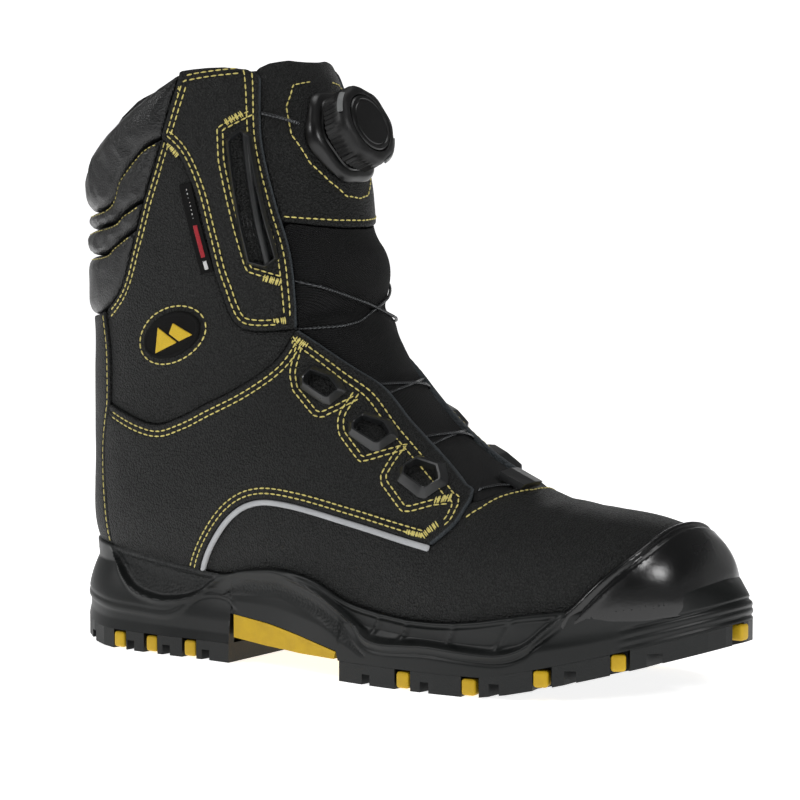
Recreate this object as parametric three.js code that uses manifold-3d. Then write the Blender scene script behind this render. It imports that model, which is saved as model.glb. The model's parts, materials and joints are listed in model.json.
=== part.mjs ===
// High work boot with cable lacing, right foot, modelled as the separate pieces it is sewn,
// moulded and bonded from. Millimetres, +Z up, +X to the toe, -Y the outer (lateral) side.
// The origin is on the ground under the middle of the sole.
import * as THREE from 'three';
import { mergeVertices } from 'three/addons/utils/BufferGeometryUtils.js';
import Module from 'manifold-3d';

const wasm = await Module();
wasm.setup();

// ---------- driving dimensions ----------
const LENGTH = 306;            // outsole, heel to toe
const WIDTH = 108;             // outsole, across the ball of the foot
const HEIGHT = 246;            // ground to the top of the tongue
const GAP = 0.3;               // clearance between neighbouring pieces
const LEATHER = 1.9;           // leather of the upper panels
const INTERLINING = 2.4;       // foam bonded to the back of the panels, cut away over the stiffeners
const LINING = 2.1;            // bootie inside the panels
const TONGUE_PAD = 5.0;        // foam behind the tongue's upper half
const COLLAR_PROUD = 2.2;      // how far the collar rolls stand out of the shaft
const BUMPER = 2.2;            // scuff cap moulded over the toe
const PIPING = 1.2;            // reflective strip, thickness
const PIPING_WIDE = 4.6;
const BADGE = 1.0;
const LABEL = 0.8;
const GUIDE = 3.0;             // height of the cable guides over the leather
const CABLE = 1.4;             // lace cable diameter
const TREAD = 8.0;             // rubber tread under the core plate
const CORE = 1.6;              // yellow core plate between tread and midsole
const CORE_INSET = 4.0;        // core plate stops this far inside the sole's edge
const TOOTH_WIDE = 7.0;        // core blocks that show between the lugs
const TOOTH_DEEP = 9.4;
const TOOTH_RECESS = 1.0;      // the blocks stop this far above the tread face
const GROOVE_WIDE = 4.0;
const GROOVE_DEEP = 4.2;
const TOE_SPRING = 21;         // rise of the tread at the toe
const HEEL_RISE = 5;           // rise of the tread at the back of the heel
const SHANK_WIDE = 18;
const SHANK_THICK = 2.0;
const DIAL_BELOW_TOP = 30;     // dial centre under the top of the tongue
const DIAL_CUP_R = 14.5;
const DIAL_FLANGE_R = DIAL_CUP_R + 5.5;
const DIAL_WALL = 2.0;
const DIAL_SLIP = 0.4;         // running clearance between the dial's turning pieces
const SPOOL_SLIP = 0.9;        // clearance round the spool and drive disc, where the cable winds
const SPOOL_R = DIAL_CUP_R - DIAL_WALL - SPOOL_SLIP;
const SPOOL_GROOVE = 3.0;      // depth of the spool's cable groove
const KNOB_WALL = 2.1;
const KNOB_R = DIAL_CUP_R + DIAL_SLIP + KNOB_WALL;
const CAP_R = KNOB_R - 5.0;
const PIN_R = 2.0;

const PANEL = LEATHER + INTERLINING;

// the side-view points below are written for these overall sizes and scaled to the ones above
const DRAWN = { length: 306, width: 108, height: 246 };
const SCALE = new THREE.Vector3(LENGTH / DRAWN.length, WIDTH / DRAWN.width, HEIGHT / DRAWN.height);

// ---------- reference surface of the upper ----------
// Stations from the toe to the collar. Each is a leaning section: its front/top point (fx, fz), its
// back/bottom point (bx, bz), half width, sideways shift, where along it the section is widest, and
// the roundness of its front and back halves (2 is an ellipse, more is squarer).
const STATIONS = [
  [142, 40, 142, 40, 0.5, 7, 0.60, 2.0, 2.0],
  [139.5, 51, 141, 32, 17, 7, 0.62, 2.0, 2.3],
  [131.5, 61.5, 136, 28.5, 29, 7, 0.64, 2.1, 2.6],
  [115, 67.5, 121, 24.5, 39, 5, 0.66, 2.2, 3.0],
  [92, 70.5, 96, 19.5, 45.5, 2, 0.70, 2.25, 3.2],
  [66, 75, 68, 17, 49.5, 0, 0.72, 2.2, 3.4],
  [42, 85.5, 40, 17, 50, -1, 0.72, 2.05, 3.4],
  [22, 101, 10, 18, 47, -1, 0.70, 1.95, 3.3],
  [7, 117.5, -22, 20, 44.5, -1, 0.66, 1.9, 3.2],
  [-4, 133.5, -60, 23, 43, -1, 0.62, 1.9, 3.0],
  [-11, 148, -110, 26, 41.5, 0, 0.56, 1.95, 2.8],
  [-14.5, 165, -143, 39, 42, 0, 0.50, 2.0, 2.5],
  [-18.5, 182, -146.5, 80, 44, 0, 0.47, 2.0, 2.3],
  [-22, 199, -146, 122, 46.5, 0, 0.46, 2.05, 2.2],
  [-29, 218, -147, 165, 48, 0, 0.46, 2.1, 2.1],
  [-39, 238, -147, 200, 47.5, 0, 0.46, 2.1, 2.1],
  [-53, 262, -142, 238, 46.5, 0, 0.46, 2.1, 2.1],
];
const LAST_STATION = STATIONS.length - 1;
const STEPS_AROUND = 22;

function station(u) {
  const t = THREE.MathUtils.clamp(u, 0, LAST_STATION);
  const i = Math.min(Math.floor(t), LAST_STATION - 1);
  const at = (k) => STATIONS[THREE.MathUtils.clamp(k, 0, LAST_STATION)];
  const [a, b, c, d] = [at(i - 1), at(i), at(i + 1), at(i + 2)];
  const w = t - i;
  return b.map((_, k) => {
    const v0 = (c[k] - a[k]) / 2;
    const v1 = (d[k] - b[k]) / 2;
    return ((2 * b[k] - 2 * c[k] + v0 + v1) * w + (-3 * b[k] + 3 * c[k] - 2 * v0 - v1)) * w * w
      + v0 * w + b[k];
  });
}

// point of the surface: u runs toe to collar, angle 0 is the front ridge, a quarter turn the outer side
function skin(u, angle) {
  const [fx, fz, bx, bz, half, shift, widest, front, back] = station(u);
  const c = Math.cos(angle);
  const s = Math.sin(angle);
  const power = c >= 0 ? front : back;
  const along = Math.abs(c) ** (2 / power);
  const across = Math.sign(s) * Math.abs(s) ** (2 / power);
  const a = c >= 0 ? widest * (1 - along) : widest + (1 - widest) * along;
  return new THREE.Vector3(fx + (bx - fx) * a, shift - half * across, fz + (bz - fz) * a)
    .multiply(SCALE);
}

function skinNormal(u, angle) {
  const e = 0.03;
  const v = Math.max(u, 0.12);
  const along = skin(v + e, angle).sub(skin(v - e, angle));
  const around = skin(v, angle + e).sub(skin(v, angle - e));
  return around.cross(along).normalize().negate();
}

const offsetPoint = (u, angle, d) => skin(u, angle).addScaledVector(skinNormal(u, angle), d);

// ---------- closed meshes and joins ----------
function toManifold(geometry) {
  const bare = geometry.index ? geometry.toNonIndexed() : geometry.clone();
  bare.deleteAttribute('normal');
  bare.deleteAttribute('uv');
  const merged = mergeVertices(bare, 1e-4);
  return new wasm.Manifold(new wasm.Mesh({
    numProp: 3,
    vertProperties: new Float32Array(merged.attributes.position.array),
    triVerts: new Uint32Array(merged.index.array),
  }));
}

function toGeometry(solid) {
  const mesh = solid.getMesh();
  const geometry = new THREE.BufferGeometry();
  geometry.setAttribute('position', new THREE.BufferAttribute(new Float32Array(mesh.vertProperties), 3));
  geometry.setIndex(new THREE.BufferAttribute(new Uint32Array(mesh.triVerts), 1));
  geometry.computeVertexNormals();
  return geometry;
}

const stationSteps = [];
for (let u = 0; u < 3; u += 0.5) stationSteps.push(u);
for (let u = 3; u <= LAST_STATION; u++) stationSteps.push(u);

// the whole boot as one solid, moved outwards by d (inwards when d is negative)
const solids = new Map();
function bootSolid(d) {
  if (solids.has(d)) return solids.get(d);
  const first = Math.max(0, -d * 0.11);
  const steps = [first, ...stationSteps.filter((u) => u > first + 0.1)];
  const points = [];
  for (const u of steps) {
    for (let j = 0; j < STEPS_AROUND; j++) points.push(offsetPoint(u, 2 * Math.PI * j / STEPS_AROUND, d));
  }
  const index = [];
  for (let i = 0; i < steps.length - 1; i++) {
    for (let j = 0; j < STEPS_AROUND; j++) {
      const [a, b] = [i * STEPS_AROUND + j, i * STEPS_AROUND + (j + 1) % STEPS_AROUND];
      const [c, e] = [a + STEPS_AROUND, b + STEPS_AROUND];
      index.push(a, e, b, a, c, e);
    }
  }
  const last = (steps.length - 1) * STEPS_AROUND;
  for (let j = 1; j < STEPS_AROUND - 1; j++) {
    index.push(0, j, j + 1, last, last + j + 1, last + j);
  }
  const geometry = new THREE.BufferGeometry().setFromPoints(points);
  geometry.setIndex(index);
  const solid = toManifold(geometry);
  solids.set(d, solid);
  return solid;
}

const shells = new Map();
function shell(inner, outer) {
  const key = `${inner},${outer}`;
  if (!shells.has(key)) shells.set(key, bootSolid(outer).subtract(bootSolid(inner)));
  return shells.get(key);
}

// side-view points of the drawn size, as points of the real size
const side = (pairs) => pairs.map(([x, z]) => new THREE.Vector2(x * SCALE.x, z * SCALE.z));

// outlines are put together from seams that share their end points, so repeated points are dropped
const outlineShape = (outline) => new THREE.Shape(
  outline.filter((p, i, all) => p.distanceTo(all[(i + all.length - 1) % all.length]) > 0.05));

// a side-view outline carried across the boot from y0 to y1
function prism(outline, y0 = -90, y1 = 90) {
  const geometry = new THREE.ExtrudeGeometry(outlineShape(outline), { depth: y1 - y0, bevelEnabled: false });
  geometry.rotateX(Math.PI / 2).translate(0, y1, 0);
  return toManifold(geometry);
}

// a plan outline carried up from z0 to z1
function column(outline, z0, z1) {
  const geometry = new THREE.ExtrudeGeometry(outlineShape(outline), { depth: z1 - z0, bevelEnabled: false });
  geometry.translate(0, 0, z0);
  return toManifold(geometry);
}

// a line moved sideways by a distance (to its left when positive)
function beside(line, distance) {
  return line.map((p, i) => {
    const before = line[Math.max(i - 1, 0)];
    const after = line[Math.min(i + 1, line.length - 1)];
    const along = after.clone().sub(before).normalize();
    return new THREE.Vector2(p.x - along.y * distance, p.y + along.x * distance);
  });
}

const band = (line, left, right) => [...beside(line, left), ...beside(line, right).reverse()];
const smooth = (pairs, steps) => new THREE.SplineCurve(side(pairs)).getPoints(steps);

// ---------- seams, seen from the side ----------
const frontUpper = smooth(
  [[-56, 250], [-52, 238], [-46, 214], [-39, 190], [-34, 170], [-32, 152], [-31, 138]], 9);
const frontLower = smooth([[-31, 138], [-20, 129.5], [-8, 123], [3, 115], [17, 102], [33, 89], [47, 79]], 7);
const facingTip = side([[47, 79], [50.5, 77], [52.5, 73]]);
const facingEnd = side([[52.5, 73], [52, 65], [45, 57]]);
const arcSeam = smooth(
  [[-85, 215.5], [-76, 208], [-69, 194], [-64, 174], [-60, 156], [-52, 138.5], [-31, 138]], 9);
const collarUpper = smooth([[-77, 250], [-78, 239], [-82, 225], [-85, 215.5]], 3);
const collarMiddle = smooth([[-85, 215.5], [-90, 202], [-95, 190]], 2);
const collarLower = smooth([[-95, 190], [-102, 172], [-111, 153], [-123, 143]], 4);
const collarBack = smooth([[-123, 143], [-136, 140], [-170, 139]], 2);
const midSeam = smooth(
  [[-31, 138], [-38, 125], [-52, 114.5], [-69, 106], [-82, 100], [-96, 97], [-121, 104]], 8);
const backstayUpper = smooth([[-123, 143], [-120, 125], [-121, 104]], 2);
const backstayLower = smooth([[-121, 104], [-125.5, 86], [-125, 60], [-127, 34]], 4);
const pipingLine = smooth(
  [[45, 57], [28, 60], [6, 64], [-24, 69], [-41, 69], [-54, 63], [-66, 50], [-80, 29.5]], 9);
const lastingEdge = side(
  [[-80, 29.5], [-22, 25], [40, 22], [70, 23], [96, 26], [120, 31], [136, 35.5], [170, 39]]);
const lastingHeel = side([[-170, 36], [-127, 34], [-104, 31], [-80, 29.5]]);
const throat = side([[52.5, 73], [56, 74], [60, 77], [66, 83], [72, 100]]);
const tongueSeam = side([[-60, 184], [-36.5, 181], [-20, 178.5], [10, 177]]);
const padSeams = [
  smooth([[-85, 215.5], [-96, 210], [-108, 199], [-120, 186], [-170, 181]], 5),
  smooth([[-95, 190], [-106, 184.5], [-118, 179], [-170, 172]], 4),
  smooth([[-100, 178], [-113, 171], [-124, 166.5], [-170, 163]], 4),
];
const rim = smooth(
  [[-30, 245], [-56, 242.5], [-80, 238.5], [-103, 230], [-124, 216], [-140, 203], [-170, 186]], 8);
const tongueTop = smooth([[-75, 243.5], [-62, 246], [-50, 246], [-36, 240], [-20, 236]], 5);

const seamCut = (line) => prism(band(line, GAP / 2, -GAP / 2));
const seamCuts = [frontUpper, frontLower, facingTip, facingEnd, arcSeam, collarUpper, collarMiddle,
  collarLower, collarBack, midSeam, backstayUpper, backstayLower, pipingLine, throat].map(seamCut);
const underRim = prism([...rim, ...side([[-170, -20], [170, -20], [170, 245]])]);
const lastingLine = [...lastingHeel, ...lastingEdge.slice(1)];
const underLasting = prism([...lastingLine, ...side([[170, -20], [-170, -20]])]);
const plateZone = prism([...beside(lastingLine, -GAP), ...side([[170, -20], [-170, -20]])]);

// ---------- the assembly ----------
const group = new THREE.Group();

const looks = {
  rubber: { color: 0x161616, roughness: 0.7, metalness: 0 },
  yellow: { color: 0xd2c81a, roughness: 0.6, metalness: 0 },
  leather: { color: 0x1d1d1e, roughness: 0.75, metalness: 0 },
  smoothLeather: { color: 0x232425, roughness: 0.45, metalness: 0 },
  textile: { color: 0x151516, roughness: 0.9, metalness: 0 },
  foam: { color: 0x2a2a2c, roughness: 0.95, metalness: 0 },
  board: { color: 0x8d8468, roughness: 0.9, metalness: 0 },
  composite: { color: 0x3a3d40, roughness: 0.5, metalness: 0 },
  steel: { color: 0x9a9c9e, roughness: 0.35, metalness: 1 },
  reflective: { color: 0x8e9599, roughness: 0.4, metalness: 0 },
  plastic: { color: 0x1c1e20, roughness: 0.35, metalness: 0 },
  cable: { color: 0x34363a, roughness: 0.25, metalness: 0.8 },
  woven: { color: 0x101010, roughness: 0.9, metalness: 0 },
};

function add(name, geometry, look, parent = group) {
  const mesh = new THREE.Mesh(geometry, new THREE.MeshStandardMaterial(looks[look]));
  mesh.name = name;
  parent.add(mesh);
  return mesh;
}

function addSolid(name, solid, look) {
  return add(name, toGeometry(solid), look);
}

// a panel is the stretch of a layer inside a side-view outline, less the seam gaps round it
function panel(layer, outline, cuts = seamCuts, y0 = -90, y1 = 90) {
  let piece = layer.intersect(prism(outline, y0, y1));
  for (const cut of cuts) piece = piece.subtract(cut);
  return piece;
}

const outerSkin = shell(-PANEL, 0).intersect(underRim);
const back = (line) => [...line].reverse();
const sides = { lateral: [-90, -GAP / 2], medial: [GAP / 2, 90] };

// ---------- sole ----------
// plan of the sole: heel back, outer side, toe, inner side
const PLAN = [[-153, 0], [-147, -20.5], [-128, -34.5], [-100, -38.5], [-68, -39.5], [-34, -43], [0, -49.5],
  [32, -53.4], [64, -53.2], [96, -46.5], [124, -33], [144.5, -12], [152.7, 7], [149.5, 25], [134.5, 40],
  [108, 50.5], [75, 53.9], [45, 51.5], [15, 44], [-20, 37.5], [-60, 36.5], [-100, 37.5], [-128, 34],
  [-147, 20]];
const PLAN_STEPS = 60;
const PLAN_SEARCH = 400;       // places tried when a station is looked up on the plan
const planCurve = new THREE.CatmullRomCurve3(
  PLAN.map(([x, y]) => new THREE.Vector3(x * SCALE.x, y * SCALE.y, 0)), true, 'catmullrom', 0.5);

function planOutline(inset) {
  const points = [];
  for (let i = 0; i < PLAN_STEPS; i++) {
    const p = planCurve.getPoint(i / PLAN_STEPS);
    const t = planCurve.getTangent(i / PLAN_STEPS);
    points.push(new THREE.Vector2(p.x - t.y * inset, p.y + t.x * inset));
  }
  return points;
}

// height of the tread face over the ground along the sole; its springs follow the height of the upper
const SPRING_START = 70 * SCALE.x;
const SPRING_END = 154 * SCALE.x;
const RISE_START = -120 * SCALE.x;
const RISE_END = -153 * SCALE.x;
function treadFace(x) {
  if (x > SPRING_START) {
    return SCALE.z * TOE_SPRING * ((x - SPRING_START) / (SPRING_END - SPRING_START)) ** 1.2;
  }
  if (x < RISE_START) return SCALE.z * HEEL_RISE * ((x - RISE_START) / (RISE_END - RISE_START)) ** 2;
  return 0;
}

function levelLine(x0, x1, steps, height) {
  const points = [];
  for (let i = 0; i <= steps; i++) {
    const x = x0 + (x1 - x0) * i / steps;
    points.push(new THREE.Vector2(x, treadFace(x) + height));
  }
  return points;
}

const HEEL_SPAN = [-160 * SCALE.x, -58 * SCALE.x];
const FORE_SPAN = [4 * SCALE.x, 160 * SCALE.x];
const slab = ([x0, x1], steps, low, high) =>
  prism([...levelLine(x0, x1, steps, low), ...back(levelLine(x0, x1, steps, high))]);

// core blocks sit in notches of the tread's edge, square to it
const HEEL_TEETH = [-118, -99.5, -79].map((x) => x * SCALE.x);
const FORE_TEETH = [36.5, 66.5, 95.5, 122.5].map((x) => x * SCALE.x);
function edgeFrames(stations) {
  const frames = [];
  for (const x of stations) {
    for (const sign of [-1, 1]) {
      let best = null;
      for (let i = 0; i < PLAN_SEARCH; i++) {
        const p = planCurve.getPoint(i / PLAN_SEARCH);
        if (Math.sign(p.y) !== sign) continue;
        const closer = !best || Math.abs(p.x - x) < Math.abs(best.p.x - x);
        if (closer) best = { p, t: planCurve.getTangent(i / PLAN_SEARCH) };
      }
      frames.push(best);
    }
  }
  return frames;
}
const heelFrames = edgeFrames(HEEL_TEETH);
const toeTip = planCurve.getPoint(12 / PLAN.length);
const foreFrames = [...edgeFrames(FORE_TEETH), { p: toeTip, t: new THREE.Vector3(0, 1, 0) }];

function edgeBlock({ p, t }, wide, deep, low, high) {
  const geometry = new THREE.BoxGeometry(wide, deep + 6, high - low);
  geometry.translate(0, deep / 2 - 3, (high + low) / 2);
  geometry.rotateZ(Math.atan2(t.y, t.x)).translate(p.x, p.y, treadFace(p.x));
  return toManifold(geometry);
}

function chevron(x, wide, depth) {
  const reach = 70 * SCALE.y;
  const lean = 8;
  const outline = [[x - lean, -reach], [x - lean + wide, -reach], [x + wide, 0], [x - lean + wide, reach],
    [x - lean, reach], [x, 0]].map(([a, b]) => new THREE.Vector2(a, b));
  return column(outline, -6, treadFace(x) + depth);
}

function tread(span, steps, frames, grooves) {
  let piece = column(planOutline(0), -5, 60).intersect(slab(span, steps, 0, TREAD));
  for (const frame of frames) {
    piece = piece.subtract(edgeBlock(frame, TOOTH_WIDE + 2 * GAP, TOOTH_DEEP + GAP, -6, TREAD + 2));
  }
  for (const x of grooves) piece = piece.subtract(chevron(x, GROOVE_WIDE, GROOVE_DEEP));
  return piece;
}

function core(span, steps, frames) {
  const plate = slab(span, steps, TREAD + GAP, TREAD + GAP + CORE);
  let piece = column(planOutline(CORE_INSET), -5, 60).intersect(plate);
  const edge = column(planOutline(0.2), -5, 60);
  const below = slab(span, steps, 0, TREAD + GAP + CORE);
  for (const frame of frames) {
    const block = edgeBlock(frame, TOOTH_WIDE, TOOTH_DEEP, TOOTH_RECESS, TREAD + GAP + CORE);
    piece = piece.add(block.intersect(edge).intersect(below));
  }
  return piece;
}

const HEEL_GROOVES = [-136, -109, -89, -68].map((x) => x * SCALE.x);
const FORE_GROOVES = [22, 51, 81, 109, 134].map((x) => x * SCALE.x);
addSolid('heel_tread', tread(HEEL_SPAN, 8, heelFrames, HEEL_GROOVES), 'rubber');
addSolid('forefoot_tread', tread(FORE_SPAN, 12, foreFrames, FORE_GROOVES), 'rubber');
addSolid('heel_core', core(HEEL_SPAN, 8, heelFrames), 'yellow');
addSolid('forefoot_core', core(FORE_SPAN, 12, foreFrames), 'yellow');

// arch: the midsole rises over a yellow insert between heel and forefoot
const archTop = side([[-55, 20.5], [-36, 18.5], [-18, 15.5], [2, 11.5]]);
const archUnder = side([[1, 8.5], [-18, 8.5], [-38, 9.5], [-55, 11]]);
const shankTop = side([[-96, 23.8], [-60, 20.9], [-22, 17.9], [10, 15.9], [24, 15]]);
const bump = (line, dz) => line.map((p) => new THREE.Vector2(p.x, p.y + dz));
const shankOutline = [...shankTop, ...back(bump(shankTop, -SHANK_THICK))];
const shankSlot = [...band(shankTop, 3, 0).slice(0, shankTop.length),
  ...back(bump(shankTop, -SHANK_THICK - GAP))];
shankSlot[0].x -= GAP;
shankSlot[shankSlot.length - 1].x -= GAP;
shankSlot[shankTop.length - 1].x += GAP;
shankSlot[shankTop.length].x += GAP;
const slotSolid = prism(shankSlot, -SHANK_WIDE / 2 - GAP, SHANK_WIDE / 2 + GAP);
addSolid('shank', prism(shankOutline, -SHANK_WIDE / 2, SHANK_WIDE / 2), 'steel');

const archInsert = column(planOutline(0), -5, 60).intersect(prism([...archTop, ...archUnder]));
addSolid('arch_insert', archInsert.subtract(slotSolid), 'yellow');

const soleTop = smooth([[160, 45], [144, 44], [133, 41.5], [121, 38.5], [106, 35.5], [88, 33], [66, 29],
  [45, 27.5], [26, 28.5], [6, 31.5], [-12, 39], [-30, 41.5], [-48, 39.5], [-64, 36.5], [-90, 39],
  [-120, 42.5], [-160, 46]], 26);
const toeZone = prism(
  side([[99, 29], [99, 40], [126, 80], [170, 80], [170, 39], [133, 36.5], [121, 33.5]]));
const under = TREAD + CORE + 2 * GAP;
const midsoleSide = [...soleTop,
  ...levelLine(HEEL_SPAN[0], HEEL_SPAN[1] + 1, 6, under), ...bump(archTop, GAP),
  ...levelLine(FORE_SPAN[0], FORE_SPAN[1], 12, under)];
const midsole = column(planOutline(0), -5, 60).intersect(prism(midsoleSide))
  .subtract(bootSolid(GAP))
  .subtract(bootSolid(BUMPER + 2 * GAP).intersect(toeZone))
  .subtract(slotSolid);
addSolid('midsole', midsole, 'rubber');

// ---------- inside the shoe ----------
const stiffLayer = shell(-PANEL, -LEATHER - GAP);
const toeBox = side([[90, 28], [94, 60], [102, 90], [170, 90], [170, 42], [136, 38.5], [120, 34]]);
const heelBox = side([[-170, 41], [-120, 37.5], [-102, 42], [-116, 96], [-170, 98]]);
addSolid('composite_toe_cap', panel(stiffLayer, toeBox, []), 'composite');
addSolid('heel_stiffener', panel(stiffLayer, heelBox, []), 'composite');
addSolid('puncture_plate', shell(-LEATHER, 0).intersect(plateZone), 'board');

const liningOut = -PANEL - GAP;
const liningIn = liningOut - LINING;
const aboveTongueSeam = prism([...tongueSeam, ...side([[10, 270], [-60, 270]])]);
const beforeFront = (by) => prism([...beside(frontUpper, by), ...side([[30, 138], [30, 260]])]);
addSolid('lining', shell(liningIn, liningOut).intersect(underRim)
  .subtract(beforeFront(0).intersect(aboveTongueSeam)), 'textile');

const footbedTop = side(
  [[-137, 46], [-104, 36], [-60, 33], [-22, 30], [10, 28], [40, 26], [96, 25.5], [126, 27]]);
const footbed = bootSolid(liningIn - GAP)
  .intersect(prism([...footbedTop, ...side([[126, 0], [-137, 0]])]));
addSolid('footbed', footbed, 'foam');

// ---------- upper panels ----------
function grown(outline, by) {
  const centre = outline.reduce((sum, p) => sum.add(p), new THREE.Vector2()).divideScalar(outline.length);
  return outline.map((p) => p.clone().addScaledVector(p.clone().sub(centre).normalize(), by));
}
const pocketCuts = [toeBox, heelBox].map((box) => bootSolid(-LEATHER).intersect(prism(grown(box, 1.2))));
const panelCuts = [...seamCuts, ...pocketCuts, underLasting];
addSolid('vamp', panel(outerSkin, [...back(pipingLine), ...back(facingEnd), ...throat,
  ...side([[170, 100]]), ...back(lastingEdge)], panelCuts), 'leather');
for (const [name, [y0, y1]] of Object.entries(sides)) {
  addSolid(`quarter_${name}`, panel(outerSkin, [...frontLower, ...facingTip, ...facingEnd, ...pipingLine,
    ...back(lastingHeel).slice(1, -1), ...back(backstayLower).slice(1), ...back(midSeam).slice(1, -1)],
  panelCuts, y0, y1), 'leather');
  addSolid(`shaft_${name}`, panel(outerSkin, [...arcSeam, ...midSeam.slice(1),
    ...back(backstayUpper).slice(1), ...back(collarLower).slice(1), ...back(collarMiddle).slice(1, -1)],
  seamCuts, y0, y1), 'leather');
  addSolid(`guide_panel_${name}`, panel(outerSkin, [...frontUpper, ...back(arcSeam).slice(1),
    ...back(collarUpper).slice(1)], seamCuts, y0, y1), 'leather');
}
addSolid('backstay', panel(outerSkin, [...backstayUpper, ...backstayLower.slice(1), ...side([[-170, 36]]),
  ...back(collarBack).slice(0, -1)], panelCuts), 'leather');

// collar rolls: each bends round the back of the ankle from seam to seam
const collarLayer = shell(-PANEL, COLLAR_PROUD).intersect(underRim);
const collarCuts = [...padSeams, collarUpper, collarMiddle, collarLower, collarBack]
  .map((line) => prism(band(line, GAP, -GAP)));
const rolls = [
  [...collarUpper, ...padSeams[0].slice(1), ...side([[-170, 250]])],
  [...padSeams[0], ...back(padSeams[1]), ...back(collarMiddle).slice(1, -1)],
  [...padSeams[1], ...back(padSeams[2]), ...side([[-97, 185]])],
  [...padSeams[2], ...back(collarBack), ...back(collarLower).slice(1).filter((p) => p.y < 177 * SCALE.z)],
];
rolls.forEach((outline, i) => {
  addSolid(`collar_roll_${i + 1}`, panel(collarLayer, outline, collarCuts), 'smoothLeather');
});

// tongue: a fixed textile lower half, and a leather upper half that folds forward with the dial on it
const tongueZone = [...frontUpper, ...frontLower, ...facingTip, ...throat, ...side([[100, 100], [40, 260]])];
const tongueCuts = [...seamCuts, seamCut(tongueSeam)];
const underTongueTop = prism([...tongueTop, ...side([[10, 170], [-80, 170]])]);
addSolid('tongue_lower', panel(shell(-PANEL, 0), tongueZone, tongueCuts)
  .subtract(aboveTongueSeam), 'textile');
addSolid('tongue_panel', panel(shell(-LEATHER, 0), tongueZone, tongueCuts)
  .intersect(aboveTongueSeam).intersect(underTongueTop), 'leather');
addSolid('tongue_pad', shell(-LEATHER - GAP - TONGUE_PAD, -LEATHER - GAP)
  .intersect(beforeFront(3)).intersect(aboveTongueSeam).intersect(underTongueTop)
  .subtract(prism(band(tongueSeam, 2, -2))), 'foam');

// ---------- trim on the upper ----------
const overlay = (thick) => shell(GAP, GAP + thick);
const bumperOutline = side([[100, 30], [102, 34], [106, 38], [114, 47], [123, 57], [127, 66], [130, 80],
  [170, 80], [170, 40], [133, 37.5], [121, 34.5]]);
addSolid('toe_bumper', panel(overlay(BUMPER), bumperOutline, []), 'rubber');
for (const [name, [y0, y1]] of Object.entries(sides)) {
  addSolid(`piping_${name}`, panel(overlay(PIPING), band(pipingLine.slice(0, -2), 0.5 + PIPING_WIDE, 0.5),
    [], y0, y1), 'reflective');
}
const oval = new THREE.EllipseCurve(-83.5 * SCALE.x, 134.5 * SCALE.z, 17.5, 10.5, 0, 2 * Math.PI, false,
  0.42).getPoints(20).slice(1);
addSolid('badge', panel(overlay(BADGE), oval, [], ...sides.lateral), 'woven');
addSolid('side_label', panel(overlay(LABEL), side([[-75, 197], [-69, 197], [-66, 180], [-62.5, 162],
  [-68, 161], [-72, 179]]), [], ...sides.lateral), 'woven');

// ---------- cable guides ----------
function plaque(cx, cz, points, turn) {
  const centre = new THREE.Vector2(cx * SCALE.x, cz * SCALE.z);
  return points.map(([x, y]) => new THREE.Vector2(x, y).rotateAround(new THREE.Vector2(), turn).add(centre));
}
const longGuide = [[-5, -27], [3, -29], [6, -25], [5, 24], [1, 28], [-5, 25]];
const shortGuide = [[-7.5, -3], [0, -8.5], [6.5, -7], [5.5, 3], [0, 8], [-5, 6]];
const GUIDE_PLACES = [[-18, 115], [6, 98], [31, 81]];
for (const [name, [y0, y1]] of Object.entries(sides)) {
  const tall = plaque(-46.5, 190, longGuide, 0.27);
  addSolid(`long_guide_${name}`, panel(overlay(GUIDE), tall, [], y0, y1), 'plastic');
  GUIDE_PLACES.forEach(([x, z], i) => {
    const short = plaque(x, z, shortGuide, 0);
    addSolid(`guide_${name}_${i + 1}`, panel(overlay(GUIDE), short, [], y0, y1), 'plastic');
  });
}
const TOE_GUIDE_HALF = 7;
const toeGuideOutline = side([[51, 76], [58, 72], [66, 80], [55, 88]]);
const toeGuide = panel(overlay(GUIDE), toeGuideOutline, [], -TOE_GUIDE_HALF - 1, TOE_GUIDE_HALF - 1);
addSolid('toe_guide', toeGuide, 'plastic');

// ---------- lace cable ----------
// nearest surface parameters to a side-view point, on the outer side (sign 1) or inner side (sign -1)
function findOnSkin(x, z, sign) {
  const target = side([[x, z]])[0];
  let best = { u: 10, angle: 0.85, gap: Infinity };
  let reach = 1;
  for (let round = 0; round < 22; round++) {
    const { u: u0, angle: a0 } = best;
    for (let i = -6; i <= 6; i++) {
      for (let j = -6; j <= 6; j++) {
        const u = THREE.MathUtils.clamp(u0 + i * reach, 3, LAST_STATION);
        const angle = THREE.MathUtils.clamp(a0 + j * reach * 0.14, 0, 1.7);
        const p = skin(u, angle);
        const gap = Math.hypot(p.x - target.x, p.z - target.y);
        if (gap < best.gap) best = { u, angle, gap };
      }
    }
    reach *= 0.75;
  }
  return { u: best.u, angle: sign * best.angle };
}

const CABLE_CLEAR = CABLE / 2 + GAP;
const FACET_SLACK = 0.5;       // the panels' flat facets lie up to this far inside the true surface
const cableSection = new THREE.Shape(
  [...Array(8).keys()].map((k) => new THREE.Vector2(
    Math.cos(k * Math.PI / 4) * CABLE / 2, Math.sin(k * Math.PI / 4) * CABLE / 2)));

// a strand lies on the tongue between two places, standing off it by lift in the middle
function strand(name, from, to, lift, steps = 8) {
  const points = [];
  for (let i = 0; i <= steps; i++) {
    const t = i / steps;
    const u = THREE.MathUtils.lerp(from.u, to.u, t);
    const angle = THREE.MathUtils.lerp(from.angle, to.angle, t);
    points.push(offsetPoint(u, angle, CABLE_CLEAR + FACET_SLACK + lift * Math.sin(Math.PI * t)));
  }
  const path = new THREE.CatmullRomCurve3(points);
  const settings = { steps, extrudePath: path, bevelEnabled: false };
  add(name, new THREE.ExtrudeGeometry(cableSection, settings), 'cable');
}

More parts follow.
